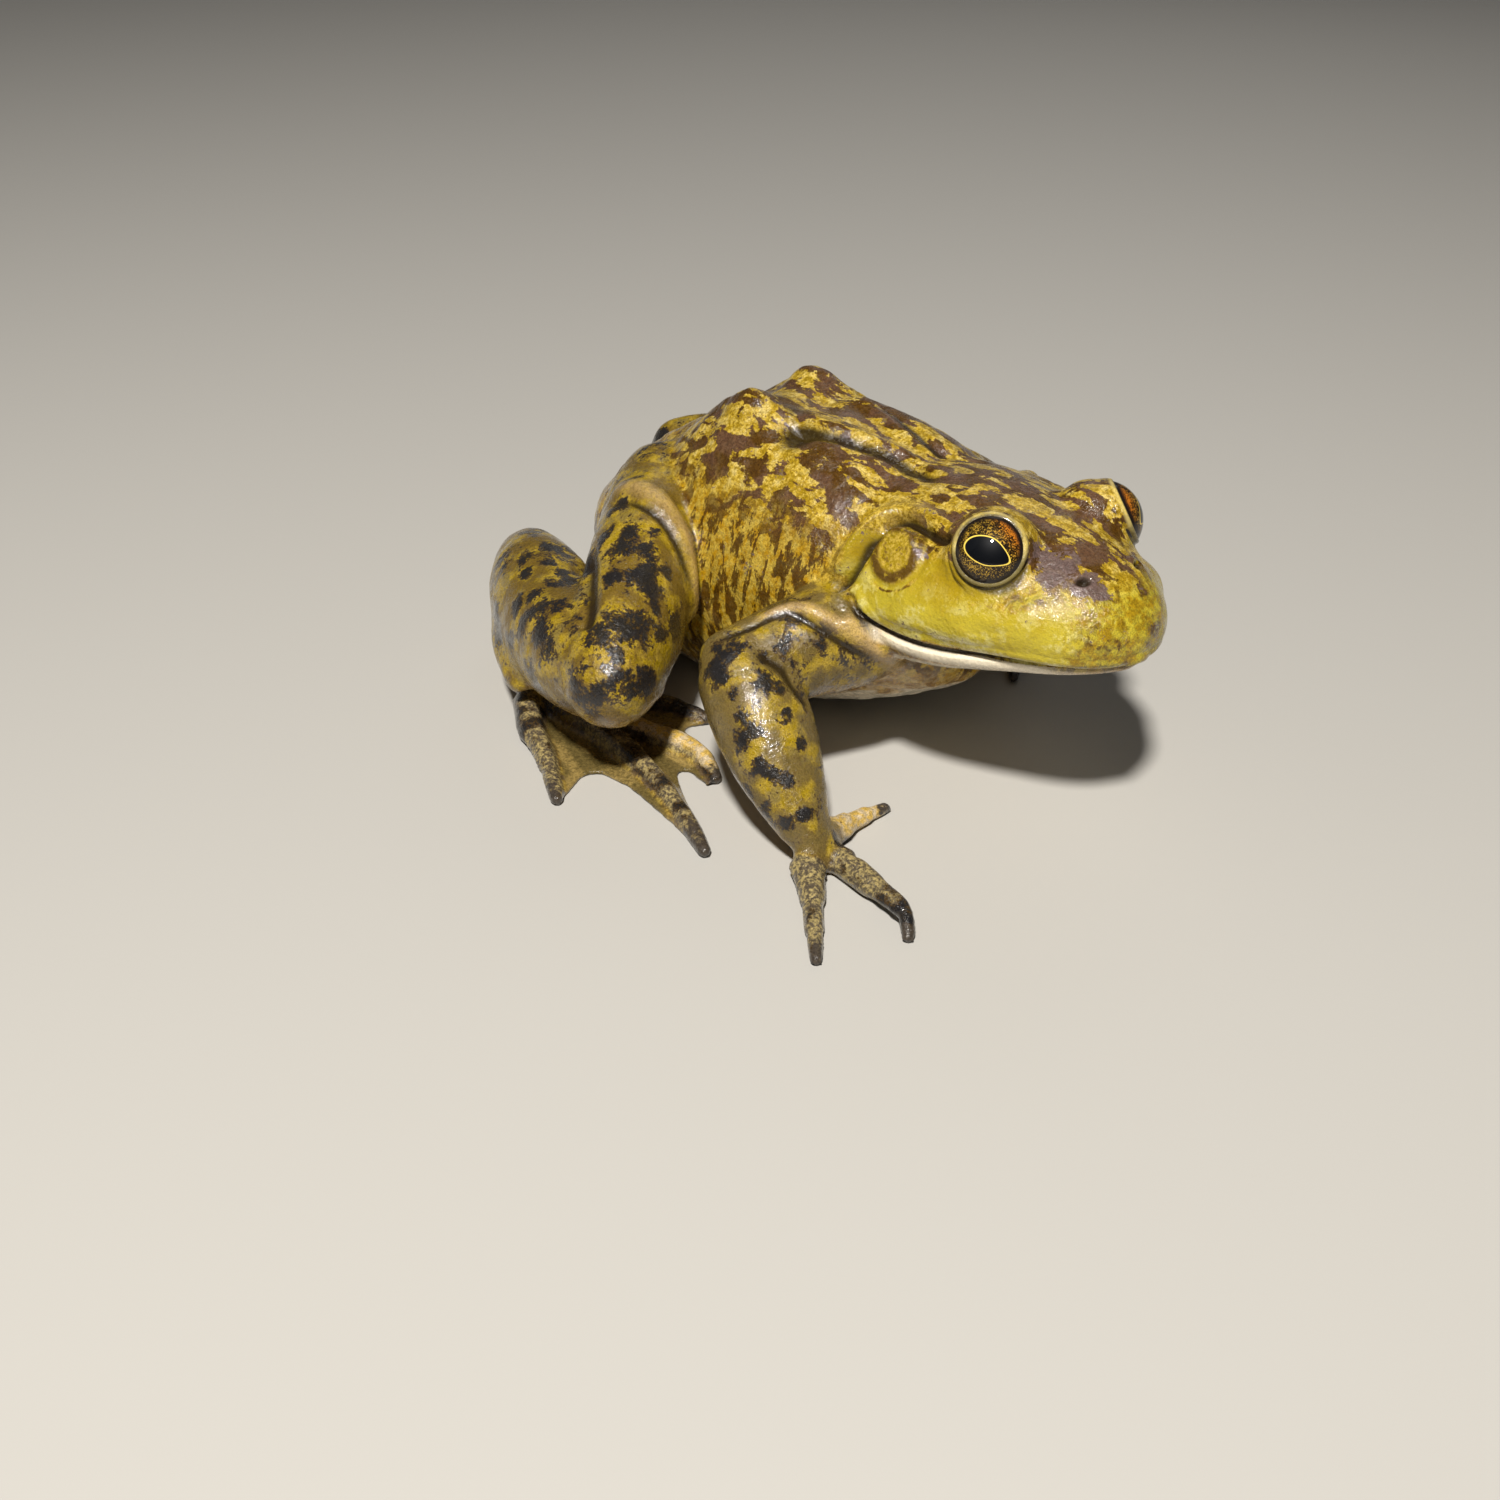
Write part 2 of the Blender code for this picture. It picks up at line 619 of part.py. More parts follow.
def main():
    for obj in list(bpy.data.objects):
        bpy.data.objects.remove(obj)
    pieces = []
    body = trunk("trunk")
    cut_by(body, skull, jaw)
    pieces.append((body, "skin"))
    build_head(pieces)
    for side in ("R", "L"):
        build_leg(pieces, side)
        build_arm(pieces, side)
    frog = bpy.data.collections.new("bullfrog")
    bpy.context.scene.collection.children.link(frog)
    corners = []
    for obj, slot in pieces:
        finish(obj, slot)
        bpy.context.scene.collection.objects.unlink(obj)
        frog.objects.link(obj)
        corners.append(ends_of(obj))
    lowest = np.min([low for low, _ in corners], axis=0)
    highest = np.max([high for _, high in corners], axis=0)
    middle = (lowest + highest) / 2
    middle[2] = 0.0
    for (obj, slot), (low, high) in zip(pieces, corners):
        own = (low + high) / 2
        obj.data.transform(Matrix.Scale(MM, 4) @ Matrix.Translation(-own))
        obj.location = Vector(own - middle) * MM


main()
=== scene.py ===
# A bullfrog, life size, sitting still on its belly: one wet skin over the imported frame, and two eyes set into it.
# Shaping is done in millimetres in the frog's own frame: +X to the snout, +Y to its left, +Z up, floor at z = 0.
import math
from types import SimpleNamespace
import bmesh
import bpy
import numpy as np
from mathutils import Matrix, Vector
from mathutils.bvhtree import BVHTree


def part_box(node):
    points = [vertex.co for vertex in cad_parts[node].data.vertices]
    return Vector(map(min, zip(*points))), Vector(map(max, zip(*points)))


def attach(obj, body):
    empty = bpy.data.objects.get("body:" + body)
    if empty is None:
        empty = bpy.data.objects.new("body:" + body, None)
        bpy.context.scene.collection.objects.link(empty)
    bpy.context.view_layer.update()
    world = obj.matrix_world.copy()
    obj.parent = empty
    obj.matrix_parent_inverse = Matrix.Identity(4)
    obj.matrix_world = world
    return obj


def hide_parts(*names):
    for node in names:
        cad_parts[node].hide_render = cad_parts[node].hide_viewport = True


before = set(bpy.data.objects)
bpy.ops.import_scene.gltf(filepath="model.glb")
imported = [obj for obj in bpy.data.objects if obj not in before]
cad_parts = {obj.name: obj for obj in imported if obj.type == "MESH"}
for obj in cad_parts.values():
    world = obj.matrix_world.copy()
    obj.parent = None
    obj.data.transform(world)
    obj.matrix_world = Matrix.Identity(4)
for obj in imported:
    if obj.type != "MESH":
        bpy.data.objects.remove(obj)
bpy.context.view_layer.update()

print("frame loaded:", len(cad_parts), "nodes")

# where the frog and its head sit in the frame
placing = {
    "trunkRear": -62.4,                # x of the trunk's rear end in the frog's own frame
    "headTurn": (-10.0, -5.5, -2.0),   # yaw, pitch and roll of the head, degrees
    "eyesAhead": (21.8, 0.0, 4.6),     # the point midway between the eyes, in the head's frame
}
perMetre = 1000                        # millimetres
farAway = 99.0                         # further than anything is looked for


def boxOf(name):
    low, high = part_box(name)
    return np.array(low) * perMetre, np.array(high) * perMetre


trunkLow, trunkHigh = boxOf("trunk")
frogOrigin = np.array([trunkLow[0] - placing["trunkRear"], (trunkLow[1] + trunkHigh[1]) / 2, 0.0])
yaw, pitch, roll = (math.radians(angle) for angle in placing["headTurn"])
headTurn = np.array(Matrix.Rotation(yaw, 3, "Z") @ Matrix.Rotation(pitch, 3, "Y") @ Matrix.Rotation(roll, 3, "X"))


def middleOf(name):
    low, high = boxOf(name)
    return (low + high) / 2 - frogOrigin


eyeMiddle = {-1: middleOf("eye_R"), 1: middleOf("eye_L")}   # -1 is the frog's right side, 1 its left
headOrigin = (eyeMiddle[-1] + eyeMiddle[1]) / 2 - headTurn @ np.array(placing["eyesAhead"])


def intoHead(points):
    return (points - headOrigin) @ headTurn


def outOfHead(points):
    return np.asarray(points, float) @ headTurn.T + headOrigin


def sided(path, side):
    # a path given for one side, kept or moved to the other
    return [(x, y * side, z) for x, y, z in path]


def ontoSide(points, side):
    # the points of both sides, laid onto one
    return points * (1, 0, 1) + side * np.abs(points) * (0, 1, 0)


def lengths(vectors):
    return np.linalg.norm(vectors, axis=1)


# small tools for shaping
def hill(distance, radius):
    # 1 at the middle, falling smoothly to 0 at the radius
    near = np.clip(distance / radius, 0, 1)
    return (1 - near * near) ** 2


def ramp(value, low, high):
    step = np.clip((value - low) / (high - low), 0, 1)
    return step * step * (3 - 2 * step)


def smoothPath(path, count=40):
    knots = np.array(path, float)
    knots = np.vstack([2 * knots[0] - knots[1], knots, 2 * knots[-1] - knots[-2]])
    place = np.linspace(0, len(path) - 1, count)
    index = np.minimum(place.astype(int), len(path) - 2)
    t = (place - index)[:, None]
    a, b, c, d = (knots[index + ahead] for ahead in range(4))
    bend = (2 * a - 5 * b + 4 * c - d) * t ** 2 + (3 * b - a - 3 * c + d) * t ** 3
    return 0.5 * (2 * b + (c - a) * t + bend)


def nearPath(points, path, reach):
    # distance of every point to the path, and how far along it its nearest spot is, 0 to 1
    curve = smoothPath(path)
    distance = np.full(len(points), farAway)
    along = np.zeros(len(points))
    close = np.all((points > curve.min(0) - reach) & (points < curve.max(0) + reach), axis=1)
    near = points[close]
    best = np.full(len(near), farAway)
    share = np.zeros(len(near))
    for index in range(len(curve) - 1):
        start, step = curve[index], curve[index + 1] - curve[index]
        t = np.clip((near - start) @ step / (step @ step), 0, 1)
        gap = lengths(near - start - t[:, None] * step)
        closer = gap < best
        best[closer] = gap[closer]
        share[closer] = (index + t[closer]) / (len(curve) - 1)
    distance[close] = best
    along[close] = share
    return distance, along


latticeSize = 32
lattice = np.random.default_rng(7).random((latticeSize, latticeSize, latticeSize))


def lumps(points, size, shift=0.0):
    # soft noise between -1 and 1 with bumps of about the given size
    spot = points / size + 100.0 + shift
    cell = np.floor(spot).astype(int)
    t = spot - cell
    t = t * t * (3 - 2 * t)
    total = np.zeros(len(points))
    for corner in np.ndindex(2, 2, 2):
        x, y, z = ((cell + corner) % latticeSize).T
        total += np.prod(np.where(corner, t, 1 - t), axis=1) * lattice[x, y, z]
    return total * 2 - 1


def readVectors(source, key):
    values = np.empty(len(source) * 3, np.float32)
    source.foreach_get(key, values)
    return values.reshape(-1, 3).astype(float)


def readPoints(mesh):
    return readVectors(mesh.vertices, "co")


def normalsOf(mesh):
    return readVectors(mesh.vertex_normals, "vector")


def writePoints(mesh, points):
    mesh.vertices.foreach_set("co", points.astype(np.float32).ravel())
    mesh.update()


def edgesOf(mesh):
    ends = np.empty(len(mesh.edges) * 2, np.int32)
    mesh.edges.foreach_get("vertices", ends)
    return ends.reshape(-1, 2)


def ringsOf(mesh):
    # each vertex's neighbours, laid out one vertex after another
    ends = edgesOf(mesh)
    middle, other = np.concatenate([ends, ends[:, ::-1]]).T
    order = np.argsort(middle, kind="stable")
    counts = np.bincount(middle, minlength=len(mesh.vertices))
    starts = np.concatenate([[0], np.cumsum(counts)[:-1]])
    return {"other": other[order], "starts": starts, "counts": counts}


def ringMean(values, rings):
    sums = np.add.reduceat(values[rings["other"]], rings["starts"], axis=0)
    return sums / (rings["counts"][:, None] if values.ndim > 1 else rings["counts"])


def faired(points, rings, rounds, share, pull=0.6, push=-0.605):
    # evens out facets without letting the form shrink
    for _ in range(rounds):
        for amount in (pull, push):
            points = points + (amount * share)[:, None] * (ringMean(points, rings) - points)
    return points


def softened(values, rings, rounds):
    for _ in range(rounds):
        values = 0.5 * values + 0.5 * ringMean(values, rings)
    return values


def intoMesh(bm, mesh):
    bm.to_mesh(mesh)
    bm.free()
    return mesh


# skin: the solids grown together into one form
skinMaking = {
    "grow": 0.35,          # each solid grows by this, so that neighbours meet
    "voxel": 0.55,
    "roundEdge": 0.72,     # faces that turn less than this cosine says share one curve
    "bulge": 0.75,         # how much of that curve a facet takes on
    "look": 3.0,           # how far off the solids are looked for
    "blend": 0.8,          # how wide one part's share of the skin runs into the next
    "evenOut": 60,         # rounds of fairing
    "soften": 10,          # rounds of plain smoothing
}
# flesh that fills out the form where limbs fold together: from, to, width, and how far it runs on at each end
muscles = [
    ((-14.5, -43.5, 16.6), (-29, -34.5, 18.6), 8, 2),   # right knee
    ((-24, -28, 20.5), (-12.5, -43.5, 17.5), 7.8, 3),   # right thigh, underneath
    ((-52, -32, 12), (-35, -45, 8), 4.2, 3),            # right shin
    ((-18, 44, 16.4), (-33, 35.5, 18.6), 7.6, 2),       # left knee
    ((-28, 28, 20), (-16.5, 44, 17), 7.6, 3),           # left thigh, underneath
]


def grownSolid(name):
    # the solid a little larger, and what is needed to round its facets off later
    bm = bmesh.new()
    bm.from_mesh(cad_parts[name].data)
    bmesh.ops.scale(bm, vec=(perMetre, perMetre, perMetre), verts=bm.verts)
    bmesh.ops.translate(bm, vec=-Vector(frogOrigin), verts=bm.verts)
    bmesh.ops.remove_doubles(bm, verts=bm.verts, dist=0.001)
    bmesh.ops.triangulate(bm, faces=bm.faces)
    bmesh.ops.recalc_face_normals(bm, faces=bm.faces)
    bm.normal_update()
    tree = BVHTree.FromBMesh(bm)
    corners, lean = [], []
    for face in bm.faces:
        for loop in face.loops:
            total = Vector((0, 0, 0))
            for other in loop.vert.link_loops:
                if other.face.normal.dot(face.normal) > skinMaking["roundEdge"]:
                    total += other.face.normal * other.calc_angle()
            corners.append(loop.vert.co.copy())
            lean.append(total.normalized())
    solid = {"tree": tree, "corners": np.array(corners).reshape(-1, 3, 3), "lean": np.array(lean).reshape(-1, 3, 3)}
    for vert in bm.verts:
        vert.co += vert.normal * skinMaking["grow"]
    return intoMesh(bm, bpy.data.meshes.new(name + "_grown")), solid


def muscleForm(start, end, width, over):
    # a spindle of flesh between two points
    start, end = Vector(start), Vector(end)
    turn = (end - start).to_track_quat("Z", "Y").to_matrix().to_4x4()
    size = Matrix.Diagonal((width, width, (end - start).length / 2 + over, 1))
    place = Matrix.Translation((start + end) / 2) @ turn @ size
    bm = bmesh.new()
    bmesh.ops.create_icosphere(bm, subdivisions=4, radius=1, matrix=place)
    return intoMesh(bm, bpy.data.meshes.new("muscle"))


def growTogether():
    solids, forms = {}, []
    for name in sorted(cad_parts):
        mesh, solids[name] = grownSolid(name)
        forms.append(mesh)
    forms += [muscleForm(*muscle) for muscle in muscles]
    bm = bmesh.new()
    for mesh in forms:
        bm.from_mesh(mesh)
        bpy.data.meshes.remove(mesh)
    rough = intoMesh(bm, bpy.data.meshes.new("skin"))
    skin = bpy.data.objects.new("skin", rough)
    bpy.context.scene.collection.objects.link(skin)
    remesh = skin.modifiers.new("grow together", "REMESH")
    remesh.mode = "VOXEL"
    remesh.voxel_size = skinMaking["voxel"]
    bpy.context.view_layer.update()
    whole = bpy.data.meshes.new_from_object(skin.evaluated_get(bpy.context.evaluated_depsgraph_get()))
    skin.modifiers.clear()
    skin.data = whole
    bpy.data.meshes.remove(rough)
    return skin, solids


def dropInnerParts(mesh):
    # pockets that the solids enclose between them go, the outside stays
    a, b = edgesOf(mesh).T
    label = np.arange(len(mesh.vertices))
    while True:
        before = label.copy()
        low = np.minimum(label[a], label[b])
        np.minimum.at(label, a, low)
        np.minimum.at(label, b, low)
        label = label[label]
        if np.array_equal(before, label):
            break
    labels, sizes = np.unique(label, return_counts=True)
    inner = label != labels[sizes.argmax()]
    if inner.any():
        bm = bmesh.new()
        bm.from_mesh(mesh)
        bmesh.ops.delete(bm, geom=[vert for vert, goes in zip(bm.verts, inner) if goes], context="VERTS")
        intoMesh(bm, mesh)


def pair(*names):
    return [f"{name}_{side}" for name in names for side in "RL"]


partGroups = {
    "trunk": ["trunk"],
    "head": ["head"] + pair("eye"),
    "jaw": ["lower_jaw"],
    "drum": pair("eardrum"),
    "thigh": pair("thigh"),
    "shank": pair("shank"),
    "foot": pair("tarsus", "foot"),
    "toe": pair("toe_1", "toe_2", "toe_3", "toe_4", "toe_5"),
    "web": pair("web_1", "web_2", "web_3", "web_4"),
    "upperArm": pair("upper_arm"),
    "forearm": pair("forearm"),
    "hand": pair("hand"),
    "finger": pair("finger_1", "finger_2", "finger_3", "finger_4"),
}


def measured(points, solids):
    # distance from every skin point to the nearest solid of each group, and the way off the nearest facet
    reach = skinMaking["look"]
    gaps = {}
    nearest = np.full(len(points), reach)
    offFacet = np.zeros((len(points), 3))
    for group, names in partGroups.items():
        gap = np.full(len(points), reach)
        for name in names:
            solid = solids[name]
            low, high = boxOf(name)
            low, high = low - frogOrigin - reach, high - frogOrigin + reach
            close = np.flatnonzero(np.all((points > low) & (points < high), axis=1))
            hits = [(index,) + solid["tree"].find_nearest(points[index], reach) for index in close]
            hits = [hit for hit in hits if hit[4] is not None]
            if not hits:
                continue
            index, spots, _, faces, found = (np.array(column) for column in zip(*hits))
            gap[index] = np.minimum(gap[index], found)
            best = found < nearest[index]
            index, spots, faces = index[best], spots[best], faces[best]
            nearest[index] = found[best]
            offFacet[index] = roundedOff(spots, solid["corners"][faces], solid["lean"][faces]) - spots
        gaps[group] = gap
    return gaps, offFacet


def roundedOff(spots, corners, lean):
    # where a spot on a flat facet goes when the facet bulges with the form it belongs to
    edgeA, edgeB, reach = corners[:, 1] - corners[:, 0], corners[:, 2] - corners[:, 0], spots - corners[:, 0]
    aa, ab, bb = (edgeA * edgeA).sum(1), (edgeA * edgeB).sum(1), (edgeB * edgeB).sum(1)
    ra, rb = (reach * edgeA).sum(1), (reach * edgeB).sum(1)
    spread = np.maximum(aa * bb - ab * ab, 1e-12)
    v = np.clip((bb * ra - ab * rb) / spread, 0, 1)
    w = np.clip((aa * rb - ab * ra) / spread, 0, 1)
    weights = np.stack([np.clip(1 - v - w, 0, 1), v, w], axis=1)
    away = ((spots[:, None, :] - corners) * lean).sum(2)
    pulled = spots[:, None, :] - away[:, :, None] * lean
    bulged = (weights[:, :, None] * pulled).sum(1) / weights.sum(1)[:, None]
    return spots + skinMaking["bulge"] * (bulged - spots)


def sharesOf(gaps, rings, rounds):
    # how much of each group a point belongs to, adding up to 1
    shares = {group: np.exp(-(gap / skinMaking["blend"]) ** 2) + 1e-7 for group, gap in gaps.items()}
    total = sum(shares.values())
    return {group: softened(share / total, rings, rounds) for group, share in shares.items()}


def refine(mesh, chosen):
    # every face with all its corners chosen is cut into four
    bm = bmesh.new()
    bm.from_mesh(mesh)
    bm.verts.ensure_lookup_table()
    edges = [edge for edge in bm.edges if chosen[edge.verts[0].index] and chosen[edge.verts[1].index]]
    bmesh.ops.subdivide_edges(bm, edges=edges, cuts=1, use_grid_fill=True)
    intoMesh(bm, mesh)


skin, solidTrees = growTogether()
dropInnerParts(skin.data)
skinRings = ringsOf(skin.data)
skinPoints = readPoints(skin.data)
skinPoints -= normalsOf(skin.data) * skinMaking["grow"]
gaps, offFacet = measured(skinPoints, solidTrees)
shares = sharesOf(gaps, skinRings, 3)
skinPoints += softened(offFacet, skinRings, 6)
thin = shares["toe"] + shares["finger"] + shares["web"] + 0.6 * shares["hand"] + 0.3 * shares["foot"]
broad = 1 - 0.75 * np.clip(thin, 0, 1)   # thin parts are smoothed less
skinPoints = faired(skinPoints, skinRings, skinMaking["evenOut"], broad)
for _ in range(skinMaking["soften"]):
    skinPoints += (0.5 * broad ** 2)[:, None] * (ringMean(skinPoints, skinRings) - skinPoints)
writePoints(skin.data, skinPoints)
print("skin grown together:", len(skin.data.vertices), "points")

# head: lids, eardrums, folds, nostrils and mouth line, in the head's frame and for its left side
headShape = {
    "eyeAt": (21.8, 10.7, 4.6), "gaze": (0.55, 0.69, 0.44), "eyeRadius": 5.9,
    "lidOpening": 52.5,        # degrees from the gaze to the lids' edge
    "lidEdge": 0.42,           # how far the lid's edge stands off the eyeball
    "drumAt": (8.9, 17.0, 2.5), "drumAxis": (0.08, 0.92, 0.36), "drumRadius": 4.7,
    "nostrilAt": (33.7, 5.2, 2.5),
    "finerWithin": {"eyeAt": 9.0, "drumAt": 6.5, "nostrilAt": 3.5},
    "mouthLine": [(39.4, 0, -8.9), (38.4, 3.5, -8.9), (36.2, 7, -8.8), (33.3, 9.8, -8.7), (29.8, 12.6, -8.7),
        (24.6, 15.4, -8.9), (18.3, 18, -9.2), (12.8, 19.2, -9.1), (8.4, 20, -8.5), (5, 20.2, -7.3), (3.4, 20.1, -6)],
    "lipSwelling": [(17, 16.2, -4.2), (23, 13.8, -3.8), (28.5, 10.6, -3.4), (33, 7.6, -3)],
    "eyeFold": [(17.6, 14.2, 7.9), (12.8, 12.4, 7.2), (8.6, 12, 7.4), (5.4, 12.4, 7.3), (3.2, 14.4, 6.2),
        (2.2, 16.6, 4.2), (1.2, 18.2, 1.4), (0.2, 19.8, -1.6), (-1, 21.6, -4)],
    "eyeFoldCrease": [(18.2, 15.3, 6.7), (14, 14.4, 6.2), (10.8, 13.3, 5.6), (7.4, 13.3, 5.7), (5.4, 14.6, 5.4),
        (4.6, 16.6, 4), (3.5, 17.6, 2.1), (2.8, 19.2, -0.9), (1.6, 20.6, -3.4), (0.2, 23, -5.2)],
}
bodyShape = {
    # each line on the skin: its half width, rise or fall, how much painted shade darkens it, how much pale colour
    # and painted highlight lighten it, and its path
    "lines": {
        "groin fold": (1.7, 0.85, 0, 0.8, [(-37.5, -23, 32), (-28, -23.6, 36.4), (-22.2, -22.9, 34.8),
            (-18, -23.2, 30), (-15.3, -25, 22.1), (-14.5, -24, 15)]),
        "groin crease": (0.8, -0.5, 0.7, 0, [(-36, -26.2, 31), (-27, -26.6, 35.2), (-21.2, -25.8, 33.4),
            (-17.2, -26, 29.6), (-15, -27.5, 22.1)]),
        "rump ridge": (1.7, 0.9, 0, 0.35, [(-24, -6, 47.5), (-31, -3.6, 44.4), (-38, -3, 39), (-45, -3, 33.5),
            (-52, -3, 28), (-60, -2, 22)]),
        "back furrow": (1.2, -1, 0.8, 0, [(-12, -8.8, 46.9), (-6.5, -7.4, 46.9), (0.9, -5.2, 46), (5, -4, 45.2),
            (9.3, -4.2, 44.8), (16.8, -6.5, 45)]),
        "back ridge": (1.5, 0.8, 0, 0, [(-12, -6.6, 47.4), (-6.5, -5.4, 47.2), (0.9, -3.2, 46.4), (5, -2, 45.6),
            (9.3, -2, 45.2)]),
        "shoulder crease": (0.7, -0.55, 0.9, 0, [(1.8, -38.8, 25.8), (4.1, -35.5, 27.8), (7, -30.3, 29.4),
            (8.6, -29, 29.6), (12.1, -27.6, 28), (15.4, -24.3, 24.8), (17.4, -19.9, 21.7)]),
        "shoulder fold": (1.1, 0.55, 0, 0.9, [(4, -34, 28.6), (7.2, -28.8, 30.2), (9.8, -27.2, 30.4),
            (13, -25.6, 28.8), (16.4, -22.3, 25.4), (17.8, -18, 22)]),
        "throat fold": (1, 0.5, 0, 0.8, [(13, -24, 29.4), (15.6, -22.6, 26.8), (17.6, -19, 23.2), (17.6, -13, 17)]),
        "elbow crease": (0.9, -0.55, 0.8, 0, [(8.6, -37.2, 27.6), (12.1, -34.6, 24.2), (14.4, -34.4, 21.9),
            (14.6, -34, 18)]),
        "knee crease": (1.4, -1.3, 0.9, 0, [(-29, -34, 27.4), (-25, -38.2, 27.8), (-20.4, -42.6, 27),
            (-17.4, -45.6, 25.8), (-16.2, -47.8, 24.2)]),
        "thigh seam": (0.6, 0.3, 0, 0.9, [(-17.2, -28, 13), (-13, -33.5, 13.6), (-8.4, -39, 14.4),
            (-5.2, -45, 16.2)]),
    },
    "onBothSides": ("groin fold", "groin crease", "back furrow", "back ridge", "throat fold"),
    # a place, its radius, and how high it rises, or for the hollows how much painted shade darkens it
    "humps": [((-21, -7.6, 47), 5, 0.9), ((-21.5, 7.4, 48.4), 5.5, 0.8), ((-10, -9.2, 46.6), 5, -1.5),
              ((-10.5, 8.6, 46.6), 3.8, -0.8), ((-13.5, 0, 47), 5, -0.6), ((-3, -11, 45), 4, 0.5)],
    "shadedHollows": [((-9.5, -9.6, 46.4), 4.6, 0.85), ((-14, -5.5, 47.5), 3.6, 0.5)],
    # bumps all over: their size and height, and where their noise is taken from
    "wrinkles": (1.9, 0.16, 0), "lumps": (2.6, 0.16, 0), "grain": (1.1, 0.07, 9),
}


def nearFeatures(inHead):
    # points round the eyes, eardrums, nostrils and mouth, which need a finer mesh
    folded = ontoSide(inHead, 1)
    near = nearPath(folded, headShape["eyeFoldCrease"][2:-1], 4.0)[0] < 2.4
    for place, reach in headShape["finerWithin"].items():
        near |= lengths(folded - np.array(headShape[place])) < reach
    return near | ((folded[:, 0] > 1) & (np.abs(folded[:, 2] + 8.4) < 2.2) & (folded[:, 1] < 21.5))


def nearFolds(points, inHead):
    near = np.zeros(len(points), bool)
    for name in ("eyeFold", "eyeFoldCrease"):
        near |= nearPath(ontoSide(inHead, 1), headShape[name], 4.0)[0] < 3.6
    for *_, path in bodyShape["lines"].values():
        near |= nearPath(ontoSide(points, -1), path, 4.0)[0] < 3.2
    return near


inHead = intoHead(skinPoints)
headRegion = (inHead[:, 0] > -2) & (shares["head"] + shares["jaw"] + shares["drum"] > 0.3)
refine(skin.data, headRegion | nearFolds(skinPoints, inHead))
print("head and folds refined:", len(skin.data.vertices), "points")
refine(skin.data, nearFeatures(intoHead(readPoints(skin.data))))
skinRings = ringsOf(skin.data)
skinPoints = readPoints(skin.data)
shares = sharesOf(measured(skinPoints, solidTrees)[0], skinRings, 6)
print("eyes, eardrums, nostrils and mouth refined:", len(skin.data.vertices), "points")


def turnedTo(axis, side):
    axis = np.array(axis) * (1, side, 1)
    return axis / np.linalg.norm(axis)


skinTree = BVHTree.FromPolygons(skinPoints.tolist(), [tuple(face.vertices) for face in skin.data.polygons])


def onSurface(path, place=outOfHead):
    # a path laid onto the skin
    return [np.array(skinTree.find_nearest(Vector(spot))[0]) for spot in place(path)]


def nearHeadLine(points, name, side, reach):
    return nearPath(points, onSurface(sided(headShape[name], side)), reach)


def offDrum(inHead, side):
    # the way from the eardrum's middle, and how far off its axis that leads
    axis = turnedTo(headShape["drumAxis"], side)
    out = inHead - np.array(headShape["drumAt"]) * (1, side, 1)
    depth = out @ axis
    return out, depth, lengths(out - np.outer(depth, axis))


def eyeCoordinates(points, side):
    # distance from the eye's middle, angle from the gaze in degrees, and how far down round the eye, -1 to 1
    middle = np.array(headShape["eyeAt"]) * (1, side, 1)
    gaze = turnedTo(headShape["gaze"], side)
    out = intoHead(points) - middle
    far = lengths(out)
    angle = np.degrees(np.arccos(np.clip(out @ gaze / np.maximum(far, 1e-6), -1, 1)))
    down = gaze[2] * gaze - (0, 0, 1)
    down /= np.linalg.norm(down)
    across = out - np.outer(out @ gaze, gaze)
    return middle, out, far, angle, across @ down / np.maximum(lengths(across), 1e-6)


def shapeLids(points, side):
    middle, out, far, angle, down = eyeCoordinates(points, side)
    size, edge = headShape["eyeRadius"], headShape["lidEdge"]
    near = (far < size + 6.0) & (angle < 112) & (far > size - 2.5)
    away = angle - headShape["lidOpening"]
    lower = ramp(down, -0.35, 0.35)
    edge = edge * (0.45 + 0.55 * lower)
    inside = size - 0.9 + (0.9 + edge) * ramp(away, -9, 2.0)     # tucked in behind the ball
    lip = size + edge - 0.22 * lower * ramp(away, 3, 9)
    wanted = np.where(away < 2.0, inside, lip)
    keep = ramp(away, 3, 13 + 16 * (1 - lower))                  # further out the skin stays as it is
    reach = wanted * (1 - keep) + np.maximum(far, wanted - 0.15 - 4.0 * ramp(angle, 84, 111)) * keep
    reach += lower * (0.38 * hill(away - 18, 7) - 0.34 * hill(away - 11, 4) - 0.30 * hill(away - 27, 6))
    # painted shade: a dark groove between the lower lid's rolls, dark lid edges where the skin tucks under the
    # eyeball, and a band under the upper lid where its shadow falls
    dark = lower * 0.55 * hill(away - 12, 3.0) + 0.45 * hill(away + 3.5, 3.0)
    dark += ramp(down, 0.0, -0.6) * 0.5 * hill(away + 0.5, 3.2)
    crease[near] = np.maximum(crease[near], dark[near])
    lidRing[near] = np.maximum(lidRing[near], ((0.5 + 0.5 * lower) * hill(away - 4.0, 5.5))[near])
    fresh = outOfHead(middle + out / np.maximum(far, 1e-6)[:, None] * reach[:, None])
    return np.where(near[:, None], fresh, points)


